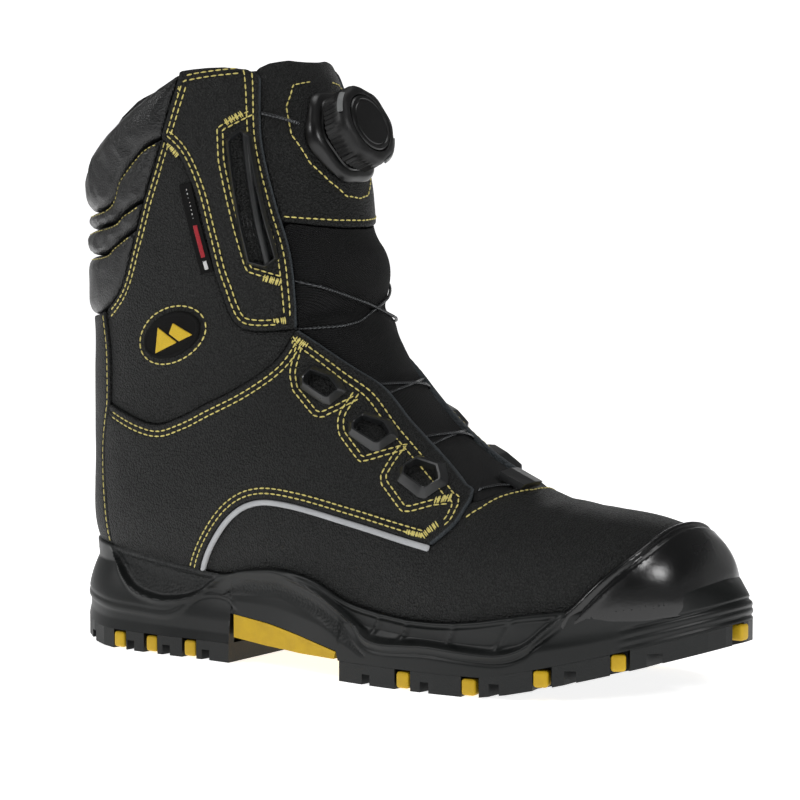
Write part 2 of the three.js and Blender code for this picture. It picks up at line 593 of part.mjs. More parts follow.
// a strand starts just clear of the leather edge, at a place on that edge
function besideEdge(x, z, sign) {
  const place = findOnSkin(x, z, sign);
  const y = Math.abs(skin(place.u, place.angle).y);
  while (Math.abs(skin(place.u, place.angle).y) > y - CABLE_START) place.angle -= sign * 0.004;
  return place;
}

const CABLE_START = 2.4;       // from the leather edge to the strand's end
const OVER = CABLE + 1.0;      // how far one strand passes over the other
const LACE_ROWS = [
  { name: 'upper', high: [-32.5, 157], low: [-25, 133.2] },
  { name: 'middle', high: [1, 116.5], low: [5, 113.2] },
  { name: 'lower', high: [24, 96.3], low: [27.5, 93.4] },
];
for (const { name, high, low } of LACE_ROWS) {
  strand(`cable_${name}_outward`, besideEdge(...high, 1), besideEdge(...low, -1), OVER);
  strand(`cable_${name}_inward`, besideEdge(...high, -1), besideEdge(...low, 1), 0);
}
for (const [name, sign] of [['lateral', 1], ['medial', -1]]) {
  const u = findOnSkin(57, 77.5, sign).u;
  let angle = 0.05;
  while (Math.abs(skin(u, sign * angle).y + 1) < TOE_GUIDE_HALF + 1.2) angle += 0.01;
  strand(`cable_toe_${name}`, besideEdge(51.5, 76, sign), { u, angle: sign * angle }, 0.3, 4);
}

// ---------- dial ----------
// the dial stands square on the front ridge of the tongue panel
let dialU = LAST_STATION;
while (skin(dialU, 0).z > HEIGHT - DIAL_BELOW_TOP) dialU -= 0.01;
const dialGroup = new THREE.Group();
dialGroup.position.copy(skin(dialU, 0));
dialGroup.quaternion.setFromUnitVectors(new THREE.Vector3(0, 0, 1), skinNormal(dialU, 0));
dialGroup.updateMatrixWorld(true);
group.add(dialGroup);

// profiles are (radius, height over the tongue), turned about the dial's own axis
function turned(profile, segments = 22) {
  const geometry = new THREE.LatheGeometry(profile.map(([r, h]) => new THREE.Vector2(r, h)), segments);
  return geometry.rotateX(Math.PI / 2);
}

const floorTop = 2.0;
const cupTop = 8.4;
const spoolLow = floorTop + DIAL_SLIP;
const spoolHigh = spoolLow + 3.8;
const driveLow = spoolHigh + DIAL_SLIP;
const driveHigh = driveLow + 2.0;
const headLow = driveHigh + DIAL_SLIP;
const headHigh = headLow + 1.2;
const knobInner = DIAL_CUP_R + DIAL_SLIP;
const knobLow = 3.8;
const roofLow = headHigh + 0.6;
const roofHigh = roofLow + 3.6;
const capSeat = roofHigh - 1.4;

const baseBlank = turned([[0, -9], [DIAL_FLANGE_R, -9], [DIAL_FLANGE_R, 1.4], [DIAL_CUP_R + 1.2, 2.6],
  [DIAL_CUP_R, 3.2], [DIAL_CUP_R, cupTop], [DIAL_CUP_R - DIAL_WALL, cupTop],
  [DIAL_CUP_R - DIAL_WALL, floorTop], [0, floorTop]]).applyMatrix4(dialGroup.matrixWorld);
addSolid('dial_base', toManifold(baseBlank).subtract(bootSolid(GAP)), 'plastic');
add('dial_spool', turned([[PIN_R + GAP, spoolLow], [SPOOL_R, spoolLow], [SPOOL_R, spoolLow + 0.7],
  [SPOOL_R - SPOOL_GROOVE, spoolLow + 1.1], [SPOOL_R - SPOOL_GROOVE, spoolHigh - 1.1],
  [SPOOL_R, spoolHigh - 0.7], [SPOOL_R, spoolHigh], [PIN_R + GAP, spoolHigh], [PIN_R + GAP, spoolLow]]),
'plastic', dialGroup);
add('dial_drive', turned([[PIN_R + GAP, driveLow], [SPOOL_R, driveLow], [SPOOL_R, driveHigh],
  [PIN_R + GAP, driveHigh], [PIN_R + GAP, driveLow]]), 'plastic', dialGroup);
add('dial_screw', turned([[0, floorTop + GAP], [PIN_R, floorTop + GAP], [PIN_R, headLow],
  [PIN_R + 2, headLow], [PIN_R + 2, headHigh], [0, headHigh]], 12), 'steel', dialGroup);
add('dial_knob', turned([[6, roofLow], [knobInner, roofLow], [knobInner, knobLow], [KNOB_R, knobLow],
  [KNOB_R, roofHigh - 1.6], [KNOB_R - 1.6, roofHigh], [CAP_R + GAP, roofHigh], [CAP_R + GAP, capSeat],
  [6, capSeat], [6, roofLow]]), 'rubber', dialGroup);
add('dial_cap', turned([[0, capSeat + GAP], [CAP_R, capSeat + GAP], [CAP_R, roofHigh + 0.4],
  [CAP_R - 1, roofHigh + 1], [0, roofHigh + 1.3]]), 'plastic', dialGroup);

// short strands from the long guides' tops into the dial
for (const [name, sign] of [['lateral', 1], ['medial', -1]]) {
  const edge = besideEdge(-49, 224, sign);
  let angle = 0.1;
  while (Math.abs(skin(dialU + 0.35, sign * angle).y) < DIAL_FLANGE_R + 1) angle += 0.01;
  strand(`cable_dial_${name}`, edge, { u: dialU + 0.35, angle: sign * angle }, 0.4, 5);
}

export default group;
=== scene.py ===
"""The looks of a high work boot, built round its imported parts. Lengths in the making are millimetres."""
import json
import math

import bmesh
import bpy
import numpy as np
from mathutils import Matrix, Vector, noise
from mathutils.bvhtree import BVHTree


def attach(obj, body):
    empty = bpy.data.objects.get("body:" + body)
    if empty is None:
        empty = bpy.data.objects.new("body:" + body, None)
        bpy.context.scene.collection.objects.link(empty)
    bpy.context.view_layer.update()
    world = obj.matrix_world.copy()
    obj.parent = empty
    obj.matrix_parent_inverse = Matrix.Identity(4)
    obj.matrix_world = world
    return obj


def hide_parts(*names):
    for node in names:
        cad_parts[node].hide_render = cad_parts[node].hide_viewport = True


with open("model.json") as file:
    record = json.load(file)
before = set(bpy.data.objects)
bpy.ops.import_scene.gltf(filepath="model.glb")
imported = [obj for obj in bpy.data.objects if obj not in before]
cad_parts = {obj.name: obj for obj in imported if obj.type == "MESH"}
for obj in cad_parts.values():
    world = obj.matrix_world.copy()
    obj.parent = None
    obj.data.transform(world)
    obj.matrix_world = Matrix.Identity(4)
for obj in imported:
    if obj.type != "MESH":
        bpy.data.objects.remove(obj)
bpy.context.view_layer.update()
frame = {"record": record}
MM = 0.001

# ---------------------------------------------------------------- viewpoint
# The boot is seen from in front of its outer side, a little above the ground, through a long lens.
aim = Vector((0, 0, 0.1085))
turn, rise, away = math.radians(33.5), math.radians(5.0), 1.3
toward_eye = Vector((math.sin(turn) * math.cos(rise), -math.cos(turn) * math.cos(rise), math.sin(rise)))
lens = bpy.data.cameras.new("viewpoint")
lens.lens, lens.sensor_width, lens.clip_end = 143, 36, 30
viewpoint = bpy.data.objects.new("viewpoint", lens)
viewpoint.location = aim + toward_eye * away
viewpoint.rotation_euler = toward_eye.to_track_quat("Z", "Y").to_euler()
bpy.context.scene.collection.objects.link(viewpoint)
bpy.context.scene.camera = viewpoint


# ---------------------------------------------------------------- finishes and the studio
# A pale round floor that sweeps up into its own backdrop, under soft lamps. The floor also glows with
# painted light, strongly in the wedge seen behind the boot and faintly elsewhere, and this glow lights the
# boot from below too. A finish is a set of shader nodes, and Link lets sums be written on their sockets.
class Link:
    """One value inside a finish. A sum on it adds the Math node."""

    def __init__(self, finish, socket):
        self.finish, self.socket = finish, socket

    def sum(self, operation, *values):
        return self.finish.node("ShaderNodeMath", {"operation": operation}, dict(enumerate(values)))

    def __add__(self, other):
        return self.sum("ADD", self, other)

    def __radd__(self, other):
        return self.sum("ADD", other, self)

    def __sub__(self, other):
        return self.sum("SUBTRACT", self, other)

    def __rsub__(self, other):
        return self.sum("SUBTRACT", other, self)

    def __mul__(self, other):
        return self.sum("MULTIPLY", self, other)

    def sine(self):
        return self.sum("SINE", self)

    def between(self, low, high):
        """0 below low, 1 above high, and smooth in between."""
        return self.finish.node("ShaderNodeMapRange", {"interpolation_type": "SMOOTHSTEP"},
                                {"Value": self, "From Min": low, "From Max": high})


class Finish:
    """A material under way. node() adds any node, and coat() closes it with the surface itself."""

    def __init__(self, name):
        self.material = bpy.data.materials.new(name)
        self.material.use_nodes = True
        self.tree = self.material.node_tree
        self.tree.nodes.clear()

    def node(self, kind, settings=None, values=None, out=0):
        node = self.tree.nodes.new(kind)
        for key, value in (settings or {}).items():
            setattr(node, key, value)
        for key, value in (values or {}).items():
            socket = node.inputs[key]
            if isinstance(value, Link):
                self.tree.links.new(value.socket, socket)
            else:
                socket.default_value = (*value, 1) if socket.type == "RGBA" else value
        return Link(self, node.outputs[out])

    def place(self):
        return self.node("ShaderNodeTexCoord", out="Object")

    def along(self, axis):
        """How far along one axis a spot on the piece is, in metres."""
        return self.node("ShaderNodeSeparateXYZ", {}, {0: self.place()}, out=axis)

    def attribute(self, name):
        return self.node("ShaderNodeAttribute", {"attribute_name": name}, out="Fac")

    def noise(self, scale, detail=3.0):
        return self.node("ShaderNodeTexNoise", {}, {"Vector": self.place(), "Scale": scale, "Detail": detail})

    def cells(self, scale):
        return self.node("ShaderNodeTexVoronoi", {}, {"Vector": self.place(), "Scale": scale})

    def mix(self, share, dark, light):
        """A blend of two colours, which go into sockets 6 and 7 and come out of socket 2."""
        return self.node("ShaderNodeMix", {"data_type": "RGBA"}, {0: share, 6: dark, 7: light}, out=2)

    def relief(self, height, depth):
        return self.node("ShaderNodeBump", {}, {"Height": height, "Distance": depth, "Strength": 1.0})

    def coat(self, colour, roughness, normal=None, **constants):
        values = {"Base Color": colour, "Roughness": roughness}
        if normal is not None:
            values["Normal"] = normal
        values.update({key.replace("_", " "): value for key, value in constants.items()})
        surface = self.node("ShaderNodeBsdfPrincipled", {}, values)
        end = self.tree.nodes.new("ShaderNodeOutputMaterial")
        self.tree.links.new(surface.socket, end.inputs["Surface"])
        return self.material


def mottled(name, scale, detail, dark, light, rough, uneven, depth, **constants):
    """A finish whose tone, roughness and relief all follow one noise."""
    make = Finish(name)
    cloud = make.noise(scale, detail)
    return make.coat(make.mix(cloud, dark, light), rough + cloud * uneven, make.relief(cloud, depth),
                     **constants)


def finished_mesh(bm, name, material, body=None, sharp=35):
    """The mesh under way becomes an object of its own, riding on its body."""
    mesh = bpy.data.meshes.new(name)
    bm.to_mesh(mesh)
    bm.free()
    mesh.shade_smooth()
    mesh.set_sharp_from_angle(angle=math.radians(sharp))
    mesh.materials.append(material)
    piece = bpy.data.objects.new(name, mesh)
    bpy.context.scene.collection.objects.link(piece)
    if body:
        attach(piece, body)
    return piece


# The floor's painted glow: bright in a wedge seen behind the boot from the viewpoint, faint elsewhere. It is no
# lamp, but it lights the boot too.
VIEW_RIGHT = (0.834, 0.552)
WEDGE_HALF, WEDGE_SPREAD, WEDGE_BLUR = 0.75, 0.22, 0.35
FLAT_RADIUS, SWEEP_RADIUS, SWEEP_ANGLE = 2.4, 1.6, 1.45
paint = Finish("studio_floor")
east, north = paint.along("X"), paint.along("Y")
across = east * VIEW_RIGHT[0] + north * VIEW_RIGHT[1]
beyond = north * VIEW_RIGHT[0] - east * VIEW_RIGHT[1]
painted_glow_wedge = (beyond * WEDGE_SPREAD + WEDGE_HALF - across.sum("ABSOLUTE", across)).between(0.0, WEDGE_BLUR)
pale_floor = paint.coat(paint.mix(paint.noise(2.0), (0.88, 0.88, 0.88), (0.92, 0.92, 0.92)), 0.9,
                        Emission_Color=paint.mix(painted_glow_wedge, (0.1, 0.1, 0.1), (1, 1, 1)),
                        Emission_Strength=0.85, Specular_IOR_Level=0.1)
bm = bmesh.new()
floor_line = [(0, 0)] + [(FLAT_RADIUS + SWEEP_RADIUS * math.sin(t), SWEEP_RADIUS * (1 - math.cos(t)))
                         for t in np.linspace(0, SWEEP_ANGLE, 14)]
chain = [bm.verts.new((r, 0, z)) for r, z in floor_line]
edges = [bm.edges.new(pair) for pair in zip(chain, chain[1:])]
bmesh.ops.spin(bm, geom=chain + edges, cent=(0, 0, 0), axis=(0, 0, 1), angle=math.tau, steps=72,
               use_merge=True)
bmesh.ops.remove_doubles(bm, verts=bm.verts, dist=1e-5)
bmesh.ops.recalc_face_normals(bm, faces=bm.faces)
finished_mesh(bm, "studio_floor", pale_floor)

world = bpy.data.worlds.new("studio")
world.use_nodes = True
sky = world.node_tree.nodes["Background"].inputs
sky["Color"].default_value, sky["Strength"].default_value = (1, 1, 1, 1), 0.12
bpy.context.scene.world = world
bpy.context.scene.view_settings.view_transform = "Standard"


def lamp(name, where, size, power):
    light = bpy.data.lights.new(name, "AREA")
    light.shape, light.size, light.energy = "DISK", size, power
    holder = bpy.data.objects.new(name, light)
    holder.location = where
    holder.rotation_euler = (Vector(where) - Vector((0, 0, 0.1))).to_track_quat("Z", "Y").to_euler()
    bpy.context.scene.collection.objects.link(holder)


lamp("lamp_left", (-1.1, -1.2, 1.5), 0.5, 9)
lamp("lamp_right", (1.5, -0.4, 1.2), 0.5, 10)
lamp("lamp_over", (-0.2, 0.3, 1.9), 1.0, 6)
lamp("lamp_rim", (-1.5, -0.9, 0.75), 0.22, 2.5)

# ---------------------------------------------------------------- the last
# The boot is pulled over a last. Each row is a leaning section of it: front point x, z, back point
# x, z, half width, sideways shift, where it is widest, and how square its front and back halves are.
LAST = np.array([
    (142, 40, 142, 40, 0.5, 7, .60, 2.0, 2.0), (139.5, 51, 141, 32, 17, 7, .62, 2.0, 2.3),
    (131.5, 61.5, 136, 28.5, 29, 7, .64, 2.1, 2.6), (115, 67.5, 121, 24.5, 39, 5, .66, 2.2, 3.0),
    (92, 70.5, 96, 19.5, 45.5, 2, .70, 2.25, 3.2), (66, 75, 68, 17, 49.5, 0, .72, 2.2, 3.4),
    (42, 85.5, 40, 17, 50, -1, .72, 2.05, 3.4), (22, 101, 10, 18, 47, -1, .70, 1.95, 3.3),
    (7, 117.5, -22, 20, 44.5, -1, .66, 1.9, 3.2), (-4, 133.5, -60, 23, 43, -1, .62, 1.9, 3.0),
    (-11, 148, -110, 26, 41.5, 0, .56, 1.95, 2.8), (-14.5, 165, -143, 39, 42, 0, .50, 2.0, 2.5),
    (-18.5, 182, -146.5, 80, 44, 0, .47, 2.0, 2.3), (-22, 199, -146, 122, 46.5, 0, .46, 2.05, 2.2),
    (-29, 218, -147, 165, 48, 0, .46, 2.1, 2.1), (-39, 238, -147, 200, 47.5, 0, .46, 2.1, 2.1),
    (-53, 262, -142, 238, 46.5, 0, .46, 2.1, 2.1)])
TOP = len(LAST) - 1


def fade(distance, width):
    """From 0 to 1 over a width."""
    return np.clip(distance / width, 0, 1)


def hump(distance, width):
    """A soft ridge, 1 at no distance and almost gone at twice the width."""
    return np.exp(-(distance / width) ** 2)


def run_along(points):
    """How far along the line each of its points is."""
    return np.r_[0, np.cumsum(np.linalg.norm(np.diff(points, axis=0), axis=1))]


def between_knots(a, b, c, d, w):
    """The fair curve from b to c, at the share w of the way, with a and d as the knots beyond them."""
    v0, v1 = (c - a) / 2, (d - b) / 2
    return ((2 * b - 2 * c + v0 + v1) * w + (-3 * b + 3 * c - 2 * v0 - v1)) * w * w + v0 * w + b


def last_point(u, angle):
    """Places on the last. u runs from toe to collar, and angle 0 is the front ridge."""
    t = np.clip(u, 0, TOP)
    i = np.minimum(t.astype(int), TOP - 1)
    knots = (LAST[np.clip(i + k, 0, TOP)] for k in (-1, 0, 1, 2))
    fx, fz, bx, bz, half, shift, widest, front, behind = between_knots(*knots, (t - i)[:, None]).T
    cosine, sine = np.cos(angle), np.sin(angle)
    power = np.where(cosine >= 0, front, behind)
    along = np.abs(cosine) ** (2 / power)
    across = np.sign(sine) * np.abs(sine) ** (2 / power)
    share = np.where(cosine >= 0, widest * (1 - along), widest + (1 - widest) * along)
    return np.stack([fx + (bx - fx) * share, shift - half * across, fz + (bz - fz) * share], 1)


def last_normal(u, angle):
    step = 0.03
    v = np.maximum(u, 0.12)
    along = last_point(v + step, angle) - last_point(v - step, angle)
    around = last_point(v, angle + step) - last_point(v, angle - step)
    out = -np.cross(around, along)
    return out / np.maximum(np.linalg.norm(out, axis=1), 1e-9)[:, None]


class Blank:
    """A stretch of the last laid out flat, by shares of its length upwards and round."""

    UP_STEPS, ROUND_STEPS = 400, 700
    ROWS, COLUMNS = 90, 160

    def __init__(self, u_low, u_high, angle_low, angle_high):
        middle = np.full(self.UP_STEPS, (angle_low + angle_high) / 2)
        self.us = np.linspace(u_low, u_high, self.UP_STEPS)
        run = run_along(last_point(self.us, middle))
        self.tall, self.run = run[-1], run / run[-1]
        angles = np.linspace(angle_low, angle_high, self.ROUND_STEPS)
        self.angles = np.empty((self.ROWS, self.COLUMNS))
        self.wide = 0
        for k in range(self.ROWS):
            u = np.interp(k / (self.ROWS - 1), self.run, self.us)
            girth = last_point(np.full(self.ROUND_STEPS, u), angles)
            run = np.r_[0, np.cumsum(np.linalg.norm(np.diff(girth, axis=0), axis=1) + 1e-6)]
            self.wide = max(self.wide, run[-1])
            self.angles[k] = np.interp(np.linspace(0, 1, self.COLUMNS), run / run[-1], angles)

    def on_last(self, up, over):
        u = np.interp(up, self.run, self.us)
        row, column = up * (self.ROWS - 1), over * (self.COLUMNS - 1)
        i = np.clip(row.astype(int), 0, self.ROWS - 2)
        j = np.clip(column.astype(int), 0, self.COLUMNS - 2)
        s, t = row - i, column - j
        table = self.angles
        angle = ((table[i, j] * (1 - s) + table[i + 1, j] * s) * (1 - t)
                 + (table[i, j + 1] * (1 - s) + table[i + 1, j + 1] * s) * t)
        return u, angle

    def place(self, up, over, lift=0.0):
        u, angle = self.on_last(up, over)
        lift = np.broadcast_to(np.asarray(lift, float), up.shape)
        return last_point(u, angle) + last_normal(u, angle) * lift[:, None]


# ---------------------------------------------------------------- seams
# The leather is cut to these lines, given from the side as distance along the sole and height.
def smooth(points, steps=8):
    """A fair curve through the points."""
    p = np.array(points, float)
    out = []
    for i in range(len(p) - 1):
        a, b, c, d = p[max(i - 1, 0)], p[i], p[i + 1], p[min(i + 2, len(p) - 1)]
        out += [between_knots(a, b, c, d, w) for w in np.linspace(0, 1, steps, endpoint=False)]
    out.append(p[-1])
    return np.array(out)


front_upper = smooth([(-54, 252), (-49.5, 239), (-44.5, 214), (-38.5, 190), (-34, 170), (-32, 152), (-31, 138)])
front_lower = smooth([(-31, 138), (-20, 130.5), (-8, 123), (3.5, 115), (17, 101.5), (33, 88.5), (47, 78.5)])
facing_tip = smooth([(47, 78.5), (50.4, 76.8), (52.5, 73)], 4)
facing_end = smooth([(52.5, 73), (52, 65), (45, 57)], 4)
arc_seam = smooth([(-85, 215.5), (-76, 208), (-69, 194), (-64, 174), (-60, 156), (-52, 138.5), (-31, 138)])
collar_upper = smooth([(-77, 250), (-78, 239), (-82, 225), (-85, 215.5)])
collar_middle = smooth([(-85, 215.5), (-90, 202), (-95, 190)])
collar_lower = smooth([(-95, 190), (-102, 172), (-111, 153), (-123, 143)])
collar_back = smooth([(-123, 143), (-136, 140), (-170, 139)])
middle_seam = smooth([(-31, 138), (-38, 125), (-52, 114.5), (-69, 106), (-82, 100), (-96, 97), (-121, 104)])
backstay_upper = smooth([(-123, 143), (-120, 125), (-121, 104)])
backstay_lower = smooth([(-121, 104), (-125.5, 86), (-125, 60), (-127, 34)])
piping_line = smooth([(45, 57), (28, 60), (6, 64), (-24, 69), (-41, 69), (-54, 63), (-66, 50), (-80, 29.5)])
lasting_edge = np.array([(-80, 29.5), (-22, 25), (40, 22), (70, 23), (96, 26), (120, 31), (136, 35.5),
                         (170, 39)])
lasting_heel = np.array([(-170, 36), (-127, 34), (-104, 31), (-80, 29.5)])
throat = smooth([(52.5, 73), (56, 74), (60, 77), (66, 83), (72, 100)])
pad_seams = [smooth([(-85, 215.5), (-96, 210), (-108, 199), (-120, 186), (-170, 181)]),
             smooth([(-95, 190), (-106, 184.5), (-118, 179), (-170, 172)]),
             smooth([(-100, 178), (-113, 171), (-124, 166.5), (-170, 163)])]
rim = smooth([(-30, 248), (-56, 246), (-80, 241.5), (-103, 231), (-124, 216), (-140, 203), (-170, 186)])


def joined(*lines):
    """Lines end to end as one closed outline."""
    points = np.concatenate([np.asarray(line, float) for line in lines])
    keep = np.linalg.norm(points - np.roll(points, 1, axis=0), axis=1) > 0.05
    return points[keep]


def to_segments(points, starts, ends):
    """Distance from each point to the nearest of the segments."""
    best = np.full(len(points), 1e9)
    for a, b in zip(starts, ends):
        along = b - a
        share = np.clip(((points - a) @ along) / max(along @ along, 1e-9), 0, 1)
        best = np.minimum(best, np.linalg.norm(points - a - share[:, None] * along, axis=1))
    return best


def near(points, *lines):
    """Distance from each side-view point to the nearest of the lines."""
    return np.min([to_segments(points, line[:-1], line[1:]) for line in lines], axis=0)


def within(points, outline):
    """How far inside the outline each point is, negative outside."""
    following = np.roll(outline, -1, axis=0)
    inside = np.zeros(len(points), bool)
    for (ax, az), (bx, bz) in zip(outline, following):
        if az != bz:
            crosses = (az > points[:, 1]) != (bz > points[:, 1])
            inside ^= crosses & (points[:, 0] < (bx - ax) * (points[:, 1] - az) / (bz - az) + ax)
    return np.where(inside, 1, -1) * to_segments(points, outline, following)


def beside(line, distance):
    """The line moved sideways, to its left when the distance is positive."""
    along = np.gradient(line, axis=0)
    along /= np.linalg.norm(along, axis=1)[:, None]
    return line + np.stack([-along[:, 1], along[:, 0]], 1) * distance


# ---------------------------------------------------------------- leather upper
# Grained black leather about 2 mm thick, cut as flat panels, lapped and sewn twice round. Stitch rows
# lie in shallow channels, and the lapped panel stands a leather's thickness over its neighbour.
make = Finish("grained_leather")
pebbles = make.cells(1000 / 0.85)
height = (1 - pebbles * pebbles) * 1.1 + make.noise(2600, 2.0) * 0.8 + make.noise(140, 2.0) * 0.4
# The raised pebble tops are painted lighter, a painted highlight on each pebble, blended with a random tone from
# the cloud; the same tops are also made a little less rough.
painted_highlight_tips = (1 - pebbles).between(0.35, 0.95)
cloud = make.noise(45, 3.0)
tone = make.mix(painted_highlight_tips * 0.75 + cloud * 0.25, (0.0012, 0.0015, 0.0014), (0.0175, 0.0185, 0.0178))
cut_edge = 1 - make.attribute("raw_edge").between(0.3, 1.0)
tone = make.mix(cut_edge * (cloud * 0.5 + 0.55), tone, (0.06, 0.07, 0.078))
black_leather = make.coat(tone, 0.48 + cloud * 0.12 - painted_highlight_tips * 0.1, make.relief(height, 0.0006),
                          Specular_IOR_Level=0.3)

BOTH = {"lateral": 1, "medial": -1}
ROW_HALF = 0.8
# The finished outsides of pieces, kept so that threads and cables can be laid on them.
surfaces = {}


def surface_of(piece):
    """The piece's own faces, ready for threads and cables to be laid on them."""
    return BVHTree.FromPolygons([v.co for v in piece.data.vertices], [p.vertices for p in piece.data.polygons])


def score(bm, values, level, trim=False):
    """Cuts a line of edges where values(up, over) is at the level, and may trim what is under it."""
    spots = np.array([v.co for v in bm.verts])
    for v, x in zip(bm.verts, values(spots[:, 1], spots[:, 2])):
        v.co.x = x
    bmesh.ops.bisect_plane(bm, geom=bm.verts[:] + bm.edges[:] + bm.faces[:], dist=1e-4, plane_co=(level, 0, 0),
                           plane_no=(1, 0, 0), clear_inner=trim)


def cut_sheet(blank, outline, step, rows=(), row_lines=(), edge_steps=(0.25, 0.9)):
    """A flat sheet of the blank, trimmed to the outline, with edges along its rim and its stitch rows."""
    bm = bmesh.new()
    bmesh.ops.create_grid(bm, x_segments=int(blank.tall / step), y_segments=int(blank.wide / step), size=0.5)
    for v in bm.verts:
        v.co = (0, v.co.x + 0.5, v.co.y + 0.5)

    def seen(up, over):
        return blank.place(up, over)[:, [0, 2]]

    score(bm, lambda up, over: within(seen(up, over), outline), 0, trim=True)
    for level in edge_steps:
        score(bm, lambda up, over: within(seen(up, over), outline), level)
    for row in rows:
        for level in (row - ROW_HALF, row, row + ROW_HALF):
            score(bm, lambda up, over: near(seen(up, over), *row_lines), level)
    return bm


def thicken(bm, blank, lift, under, outline, raw=()):
    """The flat sheet goes on to the last as a closed piece, from under up to lift(points, edge distance)."""
    spot = bm.verts.layers.float_vector.new("spot")
    for v in bm.verts:
        v[spot] = v.co
    spots = np.array([v.co for v in bm.verts])
    for v, p in zip(bm.verts, blank.place(spots[:, 1], spots[:, 2], under)):
        v.co = p * MM
    bmesh.ops.dissolve_degenerate(bm, edges=bm.edges, dist=2e-5)
    raised = bmesh.ops.extrude_face_region(bm, geom=bm.faces[:])["geom"]
    top = [v for v in raised if isinstance(v, bmesh.types.BMVert)]
    spots = np.array([v[spot] for v in top])
    flat = blank.place(spots[:, 1], spots[:, 2])
    edge = within(flat[:, [0, 2]], outline)
    for v, p in zip(top, blank.place(spots[:, 1], spots[:, 2], lift(flat, edge))):
        v.co = p * MM
    bmesh.ops.recalc_face_normals(bm, faces=bm.faces)
    layer = bm.verts.layers.float.new("raw_edge")
    spots = np.array([v[spot] for v in bm.verts])
    flat = blank.place(spots[:, 1], spots[:, 2])[:, [0, 2]]
    far = near(flat, *raw) if len(raw) else np.full(len(flat), 99.0)
    for v, value in zip(bm.verts, far):
        v[layer] = value
    bm.verts.layers.float_vector.remove(bm.verts.layers.float_vector["spot"])


def rolled(edge, radius=0.9):
    """How far a cut edge drops, rounded over the last radius of it."""
    share = fade(edge, radius)
    return radius * (1 - np.sqrt(1 - (1 - share) ** 2))


def ripple(points, size, seed):
    """Slow unevenness of hand-lasted leather."""
    offset = Vector((seed, seed * 1.7, -seed))
    return np.array([noise.noise(Vector(p) / size + offset) for p in points])


def channel(distance, row, depth=0.38):
    return -depth * np.clip(1 - ((distance - row) / ROW_HALF) ** 2, 0, 1)


def leather_panel(name, blank, outline, height, under, body="boot", sewn=(), rows=(), raw=(), uneven=0.35,
                  seed=1.0, step=1.7, shape=None):
    """A leather piece cut to its outline, its edges rolled and its stitch rows sunk in."""
    bm = cut_sheet(blank, outline, step, rows, sewn)

    def lift(flat, edge):
        value = height - rolled(edge) + uneven * ripple(flat, 16.0, seed) * fade(edge, 5)
        if rows:
            distance = near(flat[:, [0, 2]], *sewn)
            value = value + sum(channel(distance, row) for row in rows)
        return value if shape is None else value + shape(flat)

    thicken(bm, blank, lift, under, outline, raw)
    surfaces[name] = BVHTree.FromBMesh(bm)
    return finished_mesh(bm, name, black_leather, body, 40)


vamp_outline = joined(piping_line[::-1], facing_end[::-1], throat, [(170, 100)], lasting_edge[::-1])


def toe_creases(flat):
    """Two shallow creases over the ball of the foot."""
    x, y, z = flat.T
    crease = hump(x - 74 + 0.12 * np.abs(y), 5)
    crease += 0.6 * hump(x - 88 + 0.1 * np.abs(y), 4)
    return -0.5 * crease * fade(z - 48, 15)


vamp = leather_panel("vamp_leather", Blank(0.0, 10.4, -2.75, 2.75), vamp_outline, 0.0, -1.8, uneven=0.3,
                     seed=3.1, shape=toe_creases, step=1.9)
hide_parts("vamp")

quarter_outline = joined(front_lower, facing_tip, facing_end, piping_line, lasting_heel[::-1][1:-1],
                         backstay_lower[::-1], middle_seam[::-1])
shaft_outline = joined(arc_seam, middle_seam, backstay_upper[::-1], collar_lower[::-1], collar_middle[::-1])
guide_outline = joined(front_upper, arc_seam[::-1], collar_upper[::-1])
front_edges = [front_lower, facing_tip, facing_end]


def trimmed(outline, line):
    """The outline with what is over the line cut off."""
    xs, zs = line[:, 0], line[:, 1]
    order = np.argsort(xs)
    height = np.interp(outline[:, 0], xs[order], zs[order])
    low = outline.copy()
    low[:, 1] = np.minimum(outline[:, 1], height)
    return joined(low)


guide_outline = trimmed(guide_outline, rim)


def eased(outline, corner, radius):
    """The outline with one corner rounded."""
    nearest = int(np.argmin(np.linalg.norm(outline - corner, axis=1)))
    middle = len(outline) // 2
    turned = np.roll(outline, middle - nearest, axis=0)
    kept = np.linalg.norm(turned - turned[middle], axis=1) > radius
    before, after = turned[:middle][kept[:middle]], turned[middle:][kept[middle:]]
    a, b = before[-1], after[0]
    w = np.linspace(0.1, 0.9, 7)[:, None]
    return np.concatenate([before, a * (1 - w) ** 2 + 2 * turned[middle] * w * (1 - w) + b * w * w, after])


top_corner = guide_outline[np.argmax(guide_outline[:, 0] * 0.6 + guide_outline[:, 1])]
guide_outline = eased(guide_outline, top_corner, 6.0)
FRONT_RIDGE, BACK_RIDGE = 0.02, math.pi - 0.02
for side, sign in BOTH.items():
    low, high = (FRONT_RIDGE, BACK_RIDGE) if sign > 0 else (-BACK_RIDGE, -FRONT_RIDGE)
    panel = leather_panel(f"quarter_leather_{side}", Blank(3.6, 12.9, low, high), quarter_outline, 1.3, -1.8,
                          sewn=[*front_edges, middle_seam, piping_line], rows=(2.7, 4.8),
                          raw=front_edges, seed=5.2 + sign)
    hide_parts(f"quarter_{side}")
    panel = leather_panel(f"shaft_leather_{side}", Blank(7.5, 15.8, low, high), shaft_outline, 0.1, -4.2,
                          sewn=[collar_middle, collar_lower], rows=(1.8, 3.9), seed=7.4 + sign)
    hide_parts(f"shaft_{side}")
    panel = leather_panel(f"guide_leather_{side}", Blank(7.5, 16.0, low, high), guide_outline, 1.4, -4.2,
                          sewn=[front_upper, arc_seam, collar_upper, rim], rows=(2.4, 4.5),
                          raw=[front_upper], seed=9.7 + sign)
    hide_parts(f"guide_panel_{side}")
